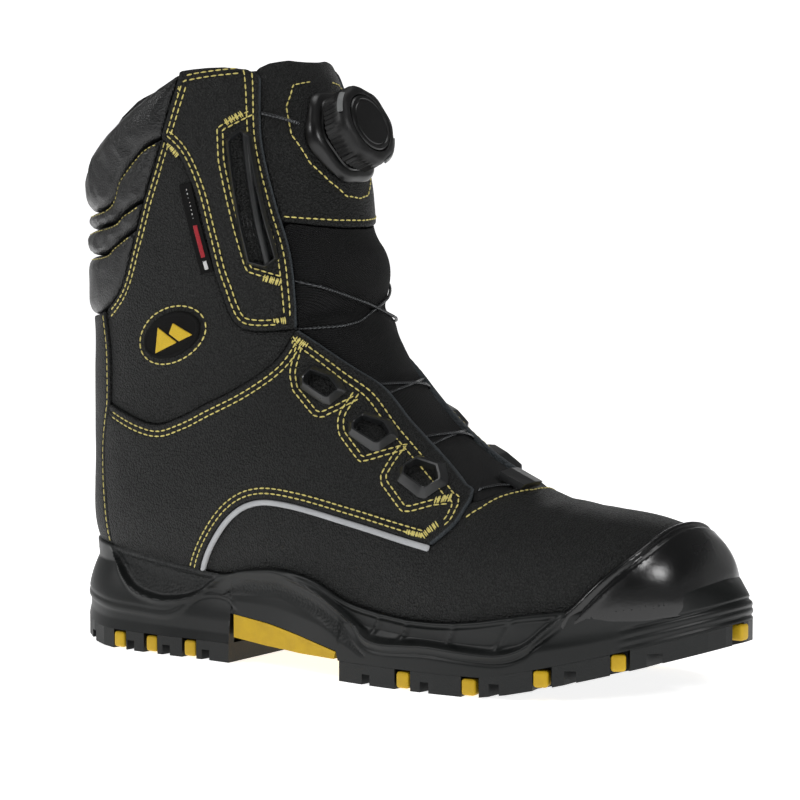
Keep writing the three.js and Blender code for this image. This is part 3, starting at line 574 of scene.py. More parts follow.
backstay_outline = joined(backstay_upper, backstay_lower, [(-170, 36)], collar_back[::-1])
backstay = leather_panel("backstay_leather", Blank(9.5, 14.6, 1.7, math.tau - 1.7), backstay_outline, 1.2,
                         -1.8, sewn=[backstay_upper, backstay_lower], rows=(2.2,), seed=11.3)
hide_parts("backstay")

# ---------------------------------------------------------------- collar rolls
# Four padded rolls of smooth black leather round the back of the collar, quilted by the seams between
# them. The leather is cut a little full, so it gathers along the seams when the foam fills it.
make = Finish("smooth_leather")
wrinkles = make.noise(95, 4.0)
tone = make.mix(make.noise(30, 2.0), (0.0025, 0.0028, 0.003), (0.007, 0.0074, 0.0077))
smooth_leather = make.coat(tone, 0.25 + wrinkles * 0.16,
                           make.relief(make.cells(1500) * 0.3 + wrinkles * 1.5, 0.0007),
                           Specular_IOR_Level=0.5)
FILLING_FRAMES = 16


def puff(piece, held, fullness, pressure, most):
    """The cover is blown up by its filling while its seams hold it, and the swollen shape is kept."""
    start = np.array([v.co for v in piece.data.vertices])
    group = piece.vertex_groups.new(name="seams")
    for index, weight in enumerate(held):
        group.add([index], float(weight), "REPLACE")
    cloth = piece.modifiers.new("filling", "CLOTH")
    settings = cloth.settings
    settings.vertex_group_mass = "seams"
    settings.quality, settings.mass = 6, 0.2
    settings.use_pressure, settings.uniform_pressure_force = True, pressure
    settings.shrink_min = -fullness
    settings.bending_stiffness, settings.tension_stiffness, settings.compression_stiffness = 0.6, 18, 12
    settings.effector_weights.gravity = 0
    cloth.collision_settings.use_collision = False
    cloth.point_cache.frame_start, cloth.point_cache.frame_end = 1, FILLING_FRAMES
    scene = bpy.context.scene
    for number in range(1, FILLING_FRAMES + 1):
        scene.frame_set(number)
    shaped = piece.evaluated_get(bpy.context.evaluated_depsgraph_get())
    ends = np.array([v.co for v in shaped.data.vertices])
    piece.modifiers.remove(cloth)
    scene.frame_set(1)
    moved = ends - start
    length = np.linalg.norm(moved, axis=1)
    moved *= (most * np.tanh(length / most) / np.maximum(length, 1e-12))[:, None]
    for v, p in zip(piece.data.vertices, start + moved):
        v.co = p
    piece.vertex_groups.clear()


def rounded(piece):
    """One step of subdivision, added to the piece as a modifier."""
    finer = piece.modifiers.new("rounding", "SUBSURF")
    finer.levels = finer.render_levels = 1
    return piece


roll_outlines = [joined(collar_upper, pad_seams[0], [(-170, 250)]),
                 joined(pad_seams[0], pad_seams[1][::-1], collar_middle[::-1]),
                 joined(pad_seams[1], pad_seams[2][::-1], [(-97, 185)]),
                 joined(pad_seams[2], collar_back[::-1],
                        [p for p in collar_lower[::-1] if p[1] < 177])]
roll_outlines[0] = trimmed(roll_outlines[0], rim)
around_back = Blank(11.2, 16.0, 1.15, math.tau - 1.15)
HALF_WIDTHS = (9.0, 6.5, 5.0, 6.0)


def swell(flat, edge, half_width, number):
    """The lift of a roll, which is half round and gathers along its seams."""
    share = fade(edge, half_width)
    folds = 0.5 * np.sin(flat[:, 1] * 0.55 + 1.5 * ripple(flat, 22.0, number)) * np.exp(-edge / 4)
    unevenness = 0.5 * ripple(flat, 14.0, number + 0.5)
    return -2.4 + 5.4 * np.sqrt(1 - (1 - share) ** 2) + unevenness - folds * 0.5


for number, (outline, half_width) in enumerate(zip(roll_outlines, HALF_WIDTHS), 1):
    bm = cut_sheet(around_back, outline, 2.6, edge_steps=(0.8, 2.2))
    thicken(bm, around_back, lambda flat, edge: swell(flat, edge, half_width, number), -4.2, outline)
    roll = finished_mesh(bm, f"collar_roll_leather_{number}", smooth_leather, "boot", 60)
    spots = np.array([v.co for v in roll.data.vertices]) / MM
    held = np.clip(1 - (within(spots[:, [0, 2]], outline) - 0.8) / 2.0, 0, 1)
    held[:len(spots) // 2] = 1.0
    puff(roll, held, 0.06, 3.0, 1.0 * MM)
    rounded(roll)
    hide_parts(f"collar_roll_{number}")
    surfaces[f"roll_{number}"] = surface_of(roll)

# ---------------------------------------------------------------- tongue
# The lower half is black twill over soft foam, drawn in where the cables cross it. The upper half is a
# leather panel that folds forward at the seam, with the dial sewn on it, and a padded back.
make = Finish("twill")
x, y, z = (make.along(axis) for axis in "XYZ")
ribs = ((z + y * 0.8 - x * 0.3) * (math.tau / (0.95 * MM))).sine()
cross = ((y - z * 0.35) * (math.tau / (0.62 * MM))).sine()
fuzz = make.noise(1800, 3.0)
tone = make.mix(ribs * 0.25 + 0.3 + fuzz * 0.4, (0.0008, 0.0009, 0.001), (0.0125, 0.013, 0.0135))
twill = make.coat(tone, 0.86, make.relief(ribs * 0.6 + cross * 0.3 + fuzz * 0.5, 0.0005),
                  Sheen_Weight=0.04, Specular_IOR_Level=0.2)

tongue_blank = Blank(4.6, 12.6, -1.75, 1.75)
tongue_outline = joined([(-36.9, 181.2)], [p for p in front_upper if p[1] < 181], front_lower, facing_tip,
                        [(52.5, 73), (56, 74), (60, 77), (66, 83), (100, 90), (60, 160), (10, 177),
                         (-20, 178.5)])


PILLOWS = ((163, 13, 3.4), (136, 8.5, 1.6), (123, 6.5, 1.1), (103, 7.5, 1.5), (87, 6, 1.2))
DRAWN_IN = (146.5, 119.5, 100.5)


def tongue_shape(flat, edge):
    """Bulges of the foam between the places where the cables draw the tongue in."""
    x, y, z = flat.T
    ridge = z + 0.32 * np.abs(y)
    pillow = np.zeros(len(flat))
    for middle, half, rise in PILLOWS:
        pillow += rise * hump(ridge - middle - 5, half)
    sink = sum(2.6 * hump(z + 0.12 * np.abs(y) - middle, 3.2) for middle in DRAWN_IN)
    drape = 1.3 * np.sin(y / 6.5 + 1.2 + z * 0.03) * hump(z - 160, 11)
    drape += (0.9 * np.sin((z + 0.9 * np.abs(y)) / 3.4) * hump(z - 142, 8)
              * np.clip(np.abs(y) / 12, 0, 1))
    drape += 0.5 * np.sin((z + 0.7 * np.abs(y)) / 3.0) * hump(z - 108, 9)
    return (pillow + drape) * fade(edge, 9) - sink * fade(edge, 4)


bm = cut_sheet(tongue_blank, tongue_outline, 2.4, edge_steps=(0.6,))
thicken(bm, tongue_blank, lambda flat, edge: -0.9 + tongue_shape(flat, edge) + 0.25 * ripple(flat, 12.0, 4.4),
        -4.2, tongue_outline)
tongue_lower = rounded(finished_mesh(bm, "tongue_twill", twill, "boot", 60))
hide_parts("tongue_lower")
surfaces["tongue_twill"] = surface_of(tongue_lower)

tongue_upper_outline = joined([p for p in front_upper[::-1] if 182 < p[1] < 240.5],
                              [(-51.5, 243.5), (-49, 246), (-46, 247.2), (-43, 246.4), (-40, 243.6), (-36, 239),
                               (-20, 236), (10, 236), (10, 177.6), (-20, 179.1), (-36.3, 181.6)])
tongue_top_blank = Blank(11.4, 16.0, -1.6, 1.6)
tongue_panel = leather_panel("tongue_leather", tongue_top_blank, tongue_upper_outline, 0.2, -1.8,
                             body="tongue_top", seed=13.0, uneven=0.4)
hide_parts("tongue_panel")
pad_outline = joined([p + np.array([0.8, 0]) for p in front_upper[::-1] if 184 < p[1] < 239],
                     [(-50.5, 241.5), (-48, 244.4), (-45.5, 245.6), (-43, 244.6), (-40, 241.8), (-36, 238),
                      (-20, 235), (10, 235), (10, 180), (-20, 181), (-35.5, 184)])
bm = cut_sheet(tongue_top_blank, pad_outline, 2.6, edge_steps=(0.8, 2.0))
thicken(bm, tongue_top_blank, lambda flat, edge: -2.0 - rolled(edge, 0.8), -4.2, pad_outline)
foam_dark = mottled("foam_cover", 900, 3.0, (0.002, 0.002, 0.0022), (0.009, 0.009, 0.0095), 0.92, 0.0, 0.0004,
                    Specular_IOR_Level=0.2)
tongue_pad = rounded(finished_mesh(bm, "tongue_pad_cover", foam_dark, "tongue_top", 60))
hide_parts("tongue_pad")

# ---------------------------------------------------------------- sole wall
# Black rubber moulded up round the upper: a wavy ridge parts the smooth wall from recessed fields, some
# of them grained like leather, and its top lip is bonded to the leather.
PLAN = np.array([(-153, 0), (-147, -20.5), (-128, -34.5), (-100, -38.5), (-68, -39.5), (-34, -43), (0, -49.5),
                 (32, -53.4), (64, -53.2), (96, -46.5), (124, -33), (144.5, -12), (152.7, 7), (149.5, 25),
                 (134.5, 40), (108, 50.5), (75, 53.9), (45, 51.5), (15, 44), (-20, 37.5), (-60, 36.5),
                 (-100, 37.5), (-128, 34), (-147, 20)])


def plan_point(t):
    """Places on the edge of the sole for shares of the way round it, from the heel past the outer side."""
    at = (t % 1.0) * len(PLAN)
    i = at.astype(int) % len(PLAN)
    a, b, c, d = (PLAN[(i + k) % len(PLAN)] for k in (-1, 0, 1, 2))
    return between_knots(a, b, c, d, (at - np.floor(at))[:, None])


def tread_face(x):
    """Height of the tread's top over the ground, which rises at the toe and a little at the heel."""
    toe = 21 * (np.maximum(x - 70, 0) / 84) ** 1.2
    heel = 5 * (np.maximum(-120 - x, 0) / 33) ** 2
    return toe + heel


def profile(points):
    """A fair curve through the points, as a height for each distance along the sole."""
    line = smooth(points, 10)
    order = np.argsort(line[:, 0])
    return lambda x: np.interp(x, line[order, 0], line[order, 1])


sole_top = profile([(-160, 46), (-120, 42.5), (-90, 39), (-64, 36.5), (-48, 39.5), (-30, 41.5), (-12, 39),
                    (6, 31.5), (26, 28.5), (45, 27.5), (66, 29), (88, 33), (106, 35.5), (121, 38.5), (133, 41.5),
                    (144, 44), (160, 45)])
wave = profile([(-160, 46), (-140, 45), (-129, 43), (-123, 35), (-111, 26), (-99, 23), (-90, 23), (-80, 25),
                (-70, 31), (-61, 36), (-50, 39), (-41, 40), (-30, 40.5), (-18, 37.5), (-6, 33), (10, 23),
                (17, 18.5), (25, 17), (37, 17.5), (48, 18), (66, 17), (79, 17), (88, 20), (95, 26), (102, 32),
                (110, 38), (125, 44), (160, 50)])
arch_roof = profile([(-57, 20.8), (-36, 18.8), (-18, 15.8), (3, 11.8)])
heel_step = profile([(-160, 22), (-128, 17.5), (-110, 16.5), (-94, 16), (-87, 17.5), (-81, 22), (-76, 25.5),
                     (-68, 27), (-60, 26), (-52, 22)])


def sole_low(x):
    """The wall's lower edge, which arches up between heel and forefoot."""
    level = tread_face(x) + 8.1
    return np.where((x > -57) & (x < 3), np.maximum(arch_roof(x), level), level)


def wall_relief(x, z):
    """How far the wall stands out at a place on it, and how grained it is there."""
    over = z - wave(x)
    ridge = hump(over, 1.2)
    recess = fade(over - 0.3, 2.4)
    recess = recess * recess * (3 - 2 * recess) * fade(sole_top(x) - z - 1.0, 2.0)
    out = 1.5 * ridge - 1.3 * recess
    grain = fade(over - 2.0, 1.2) * fade(-50 - x, 3)
    arch_mid = (over + 7.2) / (2.6 * fade(x + 64, 16) * fade(18 - x, 14) + 0.01)
    arch_patch = np.clip(1.4 - np.abs(arch_mid), 0, 1) * ((x > -64) & (x < 18))
    out = out - 0.8 * arch_patch
    grain = np.maximum(grain, arch_patch)
    below = heel_step(x) - z
    heel_zone = fade(-52 - x, 6)
    out = out - heel_zone * (0.9 * fade(below, 1.2) + 0.35 * hump(below + 2.6, 0.7))
    fore = fade(x - 12, 8) * fade(104 - x, 6)
    out = out - fore * 0.8 * hump(over + 3.0, 0.8)
    for middle in (8, 20, 35, 57, 79):
        across = (x - middle) - 0.55 * (z - wave(np.array([float(middle)]))[0] - 5)
        out = out + fore * 1.0 * hump(across, 1.1) * fade(over - 1.0, 1.5)
    toe = fade(x - 122, 6)
    for rise_to, deep in ((13.0, 0.8), (16.2, 0.5), (19.5, 0.8)):
        out = out - toe * deep * hump(z - tread_face(x) - rise_to + 3.2, 0.75)
    return out, grain


make = Finish("sole_rubber")
grained = make.attribute("grain")
cloud = make.noise(38, 4.0)
scuffs = make.noise(420, 3.0)
worms = make.cells(760)
tone = make.mix(cloud * 0.6 + scuffs * 0.2, (0.0016, 0.0022, 0.0022), (0.0055, 0.007, 0.0068))
sole_rubber = make.coat(tone, 0.36 + cloud * 0.12 + grained * 0.1,
                        make.relief(worms * grained * 1.1 + scuffs * 0.1, 0.0003), Specular_IOR_Level=0.36)

bm = bmesh.new()
bmesh.ops.create_grid(bm, x_segments=120, y_segments=120, size=0.5)
shares = np.array([v.co for v in bm.verts]) + 0.5
for v, p in zip(bm.verts, last_point(shares[:, 0] * TOP, shares[:, 1] * math.tau)):
    v.co = p
upper_tree = BVHTree.FromBMesh(bm)
bm.free()
# The wall's steps round and upwards. Its lowest rows turn in under it, and its last two tuck in behind the lip.
ROUND, ROWS, UNDER = 720, 56, 3
LIP, TUCKED = ROWS - 1, ROWS
FROM_FAR, UNDER_IN, UNDER_DEEP = 40, -3.4, -12.0
bm = bmesh.new()
bmesh.ops.create_grid(bm, x_segments=ROUND, y_segments=ROWS, size=0.5)
t = np.array([v.co.x + 0.5 for v in bm.verts])
k = np.round(np.array([v.co.y + 0.5 for v in bm.verts]) * ROWS)
edge = plan_point(t)
ahead = plan_point(t + 0.002) - plan_point(t - 0.002)
ahead /= np.linalg.norm(ahead, axis=1)[:, None]
outward = np.stack([ahead[:, 1], -ahead[:, 0]], 1)
low, high = sole_low(edge[:, 0]), sole_top(edge[:, 0])
share = np.clip((k - UNDER) / (LIP - 1 - UNDER), 0, 1)
z = low + (high - low) * share
gap = np.empty(len(edge))
for n, ((px, py), (ox, oy), height) in enumerate(zip(edge, outward, z)):
    start = Vector((px + ox * FROM_FAR, py + oy * FROM_FAR, height))
    hit = upper_tree.ray_cast(start, Vector((-ox, -oy, 0)), 90)
    gap[n] = FROM_FAR - hit[3] if hit[0] is not None else UNDER_DEEP
hug = fade(share - 0.3, 0.7) ** 1.6
proud = np.maximum(gap + 2.4, -9)
reach = proud * hug + np.maximum(0, proud) * (1 - hug)
relief_out, grain_here = wall_relief(edge[:, 0], z)
lip = fade(high - z, 2.2)
reach += relief_out * np.clip(share * 8, 0, 1) * np.clip((1 - share) * 8, 0, 1)
reach -= 1.0 - np.sqrt(1 - (1 - lip) ** 2)
reach = np.where(k == LIP, gap + 0.5, np.where(k == TUCKED, gap - 1.2, reach))
z = np.where(k == TUCKED, high - 6.0, z)
reach = np.where(k < UNDER, np.where(k == 0, UNDER_DEEP, UNDER_IN), reach)
z = np.where(k < UNDER - 1, low + 2.1, z)
for v, (px, py), (ox, oy), out, height in zip(bm.verts, edge, outward, reach, z):
    v.co = Vector((px + ox * out, py + oy * out, height)) * MM
layer = bm.verts.layers.float.new("grain")
for v, value in zip(bm.verts, grain_here):
    v[layer] = float(value)
bmesh.ops.remove_doubles(bm, verts=bm.verts, dist=1e-6)
bmesh.ops.bridge_loops(bm, edges=[e for e in bm.edges if e.is_boundary])
bmesh.ops.recalc_face_normals(bm, faces=bm.faces)
sole_wall = finished_mesh(bm, "sole_wall", sole_rubber, "boot", 50)
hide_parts("midsole")

# ---------------------------------------------------------------- toe bumper
# A scuff cap of glossy black rubber moulded over the toe, with a double ridge along its back edge.
make = Finish("toe_rubber")
cloud = make.noise(55, 4.0)
scratch = make.noise(900, 2.0)
toe_rubber = make.coat(make.mix(cloud, (0.0012, 0.0013, 0.0015), (0.0038, 0.004, 0.0042)), 0.2 + cloud * 0.12,
                       make.relief(cloud * 0.5 + scratch * 0.05, 0.0006), Specular_IOR_Level=0.55)
bumper_back = smooth([(100, 28), (102, 34), (106, 38), (114, 47), (123, 57), (127, 66), (130, 80)])
bumper_outline = joined(bumper_back, [(170, 80), (170, 36), (133, 33), (120, 30)])
bumper_blank = Blank(0.0, 4.6, -2.6, 2.6)
bm = cut_sheet(bumper_blank, bumper_outline, 1.6, rows=(1.6, 3.4, 5.0), row_lines=[bumper_back])


def bumper_lift(flat, edge):
    back = near(flat[:, [0, 2]], bumper_back)
    rolls = 0.7 * hump(back - 1.6, 1.0) - 0.5 * hump(back - 3.4, 0.8)
    rolls += 0.35 * hump(back - 5.0, 0.9)
    return 2.4 - rolled(edge, 1.4) + rolls


thicken(bm, bumper_blank, bumper_lift, 0.05, bumper_outline)
bumper = finished_mesh(bm, "toe_bumper_cap", toe_rubber, "boot", 50)
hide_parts("toe_bumper")

# ---------------------------------------------------------------- trim on the leather
# Small pieces laid on the leather: the reflective piping under the quarter's edge, a woven badge with a
# plain mountain on it, and a woven side label with plain bars.
def applique(name, outline, side, base, lift, material, step=0.8, edge_steps=(0.4,), sharp=40):
    """A small piece cut to an outline and laid on one side of the boot."""
    sign = BOTH[side]
    us, angles = np.meshgrid(np.linspace(3, TOP, 260), np.linspace(0.05, math.pi - 0.05, 260))
    seen = last_point(us.ravel(), angles.ravel())[:, [0, 2]]
    low, high = outline.min(0) - 3, outline.max(0) + 3
    kept = np.all((seen > low) & (seen < high), axis=1)
    u, angle = us.ravel()[kept], angles.ravel()[kept]
    ends = sorted((sign * angle.min(), sign * angle.max()))
    blank = Blank(u.min(), u.max(), *ends)
    bm = cut_sheet(blank, outline, step, edge_steps=edge_steps)
    thicken(bm, blank, lift, base, outline)
    surfaces[name] = BVHTree.FromBMesh(bm)
    return finished_mesh(bm, name, material, "boot", sharp)


make = Finish("reflective_piping")
reflective = make.coat(make.mix(make.noise(70), (0.36, 0.37, 0.385), (0.52, 0.53, 0.545)), 0.42,
                       make.relief(make.cells(1900), 0.00015), Specular_IOR_Level=0.5)
make = Finish("woven_badge")
weft, warp = ((make.along(axis) * (math.tau / (0.7 * MM))).sine() for axis in "ZX")
woven_black = make.coat(make.mix(weft * 0.2 + 0.3, (0.0015, 0.0015, 0.0015), (0.007, 0.007, 0.007)), 0.8,
                        make.relief(weft * warp, 0.00012), Specular_IOR_Level=0.2)


def thread_finish(name, dark, light):
    make = Finish(name)
    twist = make.noise(1500, 2.0)
    return make.coat(make.mix(twist, dark, light), 0.55, make.relief(make.cells(3200), 0.0002),
                     Specular_IOR_Level=0.3, Sheen_Weight=0.15)


yellow_thread = thread_finish("yellow_thread", (0.55, 0.44, 0.09), (0.98, 0.88, 0.32))
yellow_woven = thread_finish("yellow_woven", (0.62, 0.40, 0.01), (0.82, 0.56, 0.02))
white_woven = thread_finish("white_woven", (0.55, 0.55, 0.55), (0.8, 0.8, 0.8))
red_woven = thread_finish("red_woven", (0.28, 0.006, 0.012), (0.5, 0.016, 0.03))

strip = piping_line[:-1]
piping_outline = joined(beside(strip, 0.1), beside(strip, 2.5)[::-1])
for side in BOTH:
    piping = applique(f"piping_strip_{side}", piping_outline, side, 0.1,
                      lambda flat, edge: 0.25 + 1.2 * np.sqrt(1 - (1 - fade(edge, 1.2)) ** 2),
                      reflective, step=1.2, edge_steps=(0.2, 0.5, 0.9))
    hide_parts(f"piping_{side}")


def turned_to(points, cx, cz, lean):
    """Side-view points turned by the lean and moved to their place."""
    p = np.array(points, float)
    return np.stack([cx + p[:, 0] * math.cos(lean) - p[:, 1] * math.sin(lean),
                     cz + p[:, 0] * math.sin(lean) + p[:, 1] * math.cos(lean)], 1)


def oval(cx, cz, long, short, lean):
    a = np.linspace(0, math.tau, 72, endpoint=False)
    return turned_to(np.stack([long * np.cos(a), short * np.sin(a)], 1), cx, cz, lean)


BADGE, BADGE_LEAN = (-83.5, 134.5), 0.42
PEAKS = ([(-10.5, -3.9), (-4.2, 5.2), (1.9, -3.9)], [(-0.2, 0.8), (3.7, 4.0), (10.2, -3.9), (3.0, -3.9)])
badge = applique("badge_patch", oval(*BADGE, 15.2, 8.8, BADGE_LEAN), "lateral", 0.15,
                 lambda flat, edge: 1.15 - rolled(edge, 0.8) - 0.25 * fade(edge - 1.3, 0.5),
                 woven_black, edge_steps=(0.3, 0.8, 1.3, 1.8))
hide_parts("badge")
for number, peak in enumerate(PEAKS, 1):
    applique(f"badge_peak_{number}", turned_to(peak, *BADGE, BADGE_LEAN), "lateral", 0.7,
             lambda flat, edge: 1.35 - rolled(edge, 0.4), yellow_woven, step=0.5,
             edge_steps=(0.2,))

LABEL, LABEL_LEAN = (-69, 179), 0.24


def label_part(name, low, high, half, top, material, centre=0.0):
    """A bar of the label, from low to high along it."""
    bar = [(centre - half, low), (centre + half, low), (centre + half, high), (centre - half, high)]
    return applique(name, turned_to(bar, *LABEL, LABEL_LEAN), "lateral", 0.2,
                    lambda flat, edge: top - rolled(edge, 0.25), material, step=0.6,
                    edge_steps=(0.2,))


label = label_part("label_strip", -19, 18.5, 2.9, 0.8, woven_black)
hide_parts("side_label")
label_part("label_red", -12.5, 1.0, 1.0, 0.95, red_woven, 0.2)
label_part("label_white", -17.6, -13.9, 0.9, 0.95, white_woven, 0.2)
for number in range(8):
    label_part(f"label_dash_{number + 1}", 3.4 + number * 1.7, 4.3 + number * 1.7, 0.32, 0.92, white_woven, 0.3)

# ---------------------------------------------------------------- cable guides
# Moulded black plastic pieces set in windows of the leather: three short ones down each side, a tall one
# by the shin, and a loop at the bottom of the throat. The cable runs inside them.
guide_plastic = mottled("guide_plastic", 220, 3.0, (0.008, 0.0086, 0.009), (0.019, 0.02, 0.021), 0.24, 0.12,
                        0.00008, Specular_IOR_Level=0.6)
GUIDE_SHAPE = [(-10.1, 3.1), (-5.5, 8), (4.9, 4.3), (8.9, 0), (11.2, -3.1), (6.1, -8.7), (3, -8.2), (-8.5, -2)]
GUIDE_SIZE = 0.94
GUIDE_PLACES = [(-18, 116), (5.8, 98.2), (30.7, 81.3)]


def short_guide_lift(edge):
    """A sloping rim round a sunk window."""
    slope = 0.5 + 2.9 * fade(edge, 2.0)
    window = fade(edge - 2.5, 0.5)
    return slope * (1 - window) - 0.5 * window


TALL = (-48.2, 191, 0.165)
tall_outline = turned_to([(-5.2, -26), (1.6, -29.5), (6.6, -26), (4.6, 25), (0.6, 28.5), (-5, 24.5)], *TALL)


def tall_guide_lift(flat, edge):
    """A rim round a ribbed channel, with a round bar along it."""
    x, z = flat[:, 0] - TALL[0], flat[:, 2] - TALL[1]
    across = x * math.cos(TALL[2]) + z * math.sin(TALL[2])
    frame_rim = 0.7 + 2.2 * fade(edge, 1.2)
    inside = fade(edge - 1.5, 0.5)
    ribs = 0.4 + 0.35 * np.cos(across * math.tau / 1.3)
    bar = 2.8 * np.sqrt(np.clip(1 - ((across - 2.3) / 1.5) ** 2, 0, 1))
    return frame_rim * (1 - inside) + np.maximum(ribs, bar) * inside


for side in BOTH:
    for number, (x, z) in enumerate(GUIDE_PLACES, 1):
        outline = turned_to(np.array(GUIDE_SHAPE) * GUIDE_SIZE, x, z, 0)
        guide = applique(f"short_guide_{side}_{number}", outline, side, 0.2,
                         lambda flat, edge: short_guide_lift(edge) + 0.9, guide_plastic,
                         step=0.7, edge_steps=(1.0, 2.0, 2.5, 3.0), sharp=30)
        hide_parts(f"guide_{side}_{number}")
    guide = applique(f"tall_guide_{side}", tall_outline, side, 0.2,
                     lambda flat, edge: tall_guide_lift(flat, edge) + 0.7, guide_plastic,
                     step=0.6, edge_steps=(0.6, 1.2, 1.5, 2.0), sharp=30)
    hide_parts(f"long_guide_{side}")

# ---------------------------------------------------------------- stitching
# Thick yellow thread, two rows along the lapped edges and one round the badge, the dial and the heel, with
# bar-tacks where the cables pull. Each stitch is a short length of thread pulled into the leather.
def fired(spot, way, names):
    """Where a line of sight meets the leather first, and the leather's slope there."""
    start, way = Vector(spot) * MM - Vector(way) * 0.3, Vector(way)
    best = None
    for name in names:
        hit = surfaces[name].ray_cast(start, way, 0.6)
        if hit[0] is not None and (best is None or hit[3] < best[3]):
            best = hit
    return best


def fine(line, spacing=0.4):
    """The line again, with points at an even spacing."""
    line = np.asarray(line, float)
    run = run_along(line)
    at = np.linspace(0, run[-1], max(int(run[-1] / spacing), 2))
    return np.stack([np.interp(at, run, line[:, n]) for n in range(line.shape[1])], 1)


def lay_thread(bm, centre, along, normal, length, thick, proud=0.12):
    """One stitch, a short round length of thread half sunk in the leather."""
    along = (along - normal * along.dot(normal)).normalized()
    across = normal.cross(along)
    turn_to = Matrix((across * thick / 2, normal * thick * 0.42, along * length / 2)).transposed().to_4x4()
    bmesh.ops.create_uvsphere(bm, u_segments=6, v_segments=5, radius=MM,
                              matrix=Matrix.Translation(centre + normal * proud * MM) @ turn_to)


def sew(bm, looks, names, pitch=3.0, length=2.5, thick=0.72):
    """A row of stitches along the looks, evenly spaced on the leather."""
    hits = [hit for hit in (fired(spot, way, names) for spot, way in looks) if hit]
    if len(hits) < 3:
        return
    spots = np.array([hit[0] for hit in hits]) / MM
    run = run_along(spots)
    for n in range(int(run[-1] / pitch)):
        middle = (n + 0.5) * pitch
        a, centre, b = (Vector([np.interp(at, run, spots[:, i]) for i in range(3)])
                        for at in (middle - length / 2, middle, middle + length / 2))
        normal = hits[min(int(np.searchsorted(run, middle)), len(hits) - 1)][1]
        if (b - a).length > 0.3:
            lay_thread(bm, centre * MM, b - a, normal, (b - a).length, thick)


def sew_side(bm, line, sign, names, *gauge):
    """A row of stitches along a side-view line, on one side of the boot."""
    sew(bm, [((x, 0, z), (0, sign, 0)) for x, z in fine(line)], names, *gauge)


def stitched(bm, name, body="boot"):
    """The thread sewn so far becomes one piece."""
    finished_mesh(bm, f"stitching_{name}", yellow_thread, body, 60)


def bar_tack(bm, start, end, sign, names, wide):
    """Thread packed side by side across the rows' ends."""
    line = fine([start, end], 0.62)
    across = np.array([-(end[1] - start[1]), end[0] - start[0]], float)
    across /= np.linalg.norm(across)
    for n, (x, z) in enumerate(line):
        lean = 0.2 * math.sin(n * 2.4)
        first, last = (fired((x + across[0] * half + lean, 0, z + across[1] * half), (0, sign, 0), names)
                       for half in (-wide / 2, wide / 2))
        if first and last and (last[0] - first[0]).length < 4 * wide * MM:
            lay_thread(bm, (first[0] + last[0]) / 2, last[0] - first[0], (first[1] + last[1]).normalized(),
                       (last[0] - first[0]).length / MM + 0.3, 0.7, 0.25)


GUIDE_BOXES = [[(-28, 131), (-29.5, 121), (-27.3, 115), (-15.5, 105), (-9, 108.5), (-2.5, 113)],
               [(-2.5, 113), (-5.5, 104), (-4, 98.5), (6.5, 88.8), (14, 91.5), (21.5, 94)],
               [(20.5, 93), (17.8, 81), (30.5, 70.6), (41, 74), (46, 74.5)]]
QUARTER_TACKS = [((41.5, 60.5), (45.5, 65), 2.8), ((34, 61.5), (41, 60.5), 1.6), ((41, 73.5), (46, 74.5), 2.6),
                 ((-30.5, 134), (-26.5, 131.5), 2.6), ((-36, 131), (-31, 134), 2.6)]
WINDOW = [(-49.5, 226.5), (-60, 219.5), (-58.5, 206), (-48.5, 161.5), (-35.5, 157)]
for side, sign in BOTH.items():
    quarter, shaft, guide = f"quarter_leather_{side}", f"shaft_leather_{side}", f"guide_leather_{side}"
    bm = bmesh.new()
    front = np.concatenate([front_lower, facing_tip[1:], facing_end[1:]])
    for row in (2.7, 4.8):
        sew_side(bm, beside(front, -row)[2:-3], sign, [quarter])
        sew_side(bm, beside(middle_seam, row)[3:-1], sign, [quarter])
        sew_side(bm, beside(piping_line, -row + 0.3)[3:-1], sign, [quarter])
    for box in GUIDE_BOXES:
        for row in (-2.1, 0.0):
            sew_side(bm, beside(fine(box, 2.5), row), sign, [quarter])
    for start, end, wide in QUARTER_TACKS:
        bar_tack(bm, start, end, sign, [quarter], wide)
    stitched(bm, f"quarter_{side}")
    bm = bmesh.new()
    for row in (2.4, 4.5):
        front = beside(front_upper, 0.8 - row)
        sew_side(bm, front[front[:, 1] < front_upper[:, 1].max() - row - 1.5][:-3], sign, [guide])
        sew_side(bm, beside(arc_seam, row)[2:-2], sign, [guide])
        sew_side(bm, beside(collar_upper, row)[9:], sign, [guide])
        top_row = beside(rim, row)
        sew_side(bm, top_row[(top_row[:, 0] < -50 - row) & (top_row[:, 0] > -77)], sign, [guide])
        sew_side(bm, beside(fine(WINDOW, 2.5), row - 2.4), sign, [guide])
        sew_side(bm, beside(np.concatenate([collar_middle, collar_lower[1:]]), row - 0.6)[1:-1], sign, [shaft])
    bar_tack(bm, (-77, 236), (-79.4, 231.5), sign, [guide], 3.0)
    bar_tack(bm, (-81, 213.5), (-76.5, 208.5), sign, [guide, shaft], 2.8)
    bar_tack(bm, (-52, 225), (-57, 221.6), sign, [guide], 2.8)
    bar_tack(bm, (-42, 158.8), (-36.5, 157), sign, [guide], 2.8)
    bar_tack(bm, (-38.5, 141.2), (-34.5, 141.6), sign, [guide], 2.8)
    stitched(bm, f"shaft_{side}")
    bm = bmesh.new()
    heel_line = np.concatenate([backstay_upper, backstay_lower[1:]])
    sew_side(bm, beside(heel_line, -2.2)[1:-3], sign, ["backstay_leather"])
    stitched(bm, f"heel_{side}")
    bm = bmesh.new()
    rolls = [f"roll_{n}" for n in (1, 2, 3, 4)]
    for seam in pad_seams:
        line = beside(seam, 1.6)
        sew_side(bm, line[(line[:, 0] > -146)][3:], sign, rolls, 2.3, 1.6, 0.5)
    stitched(bm, f"collar_{side}")
bm = bmesh.new()
ring = oval(*BADGE, 17.6, 10.9, BADGE_LEAN)
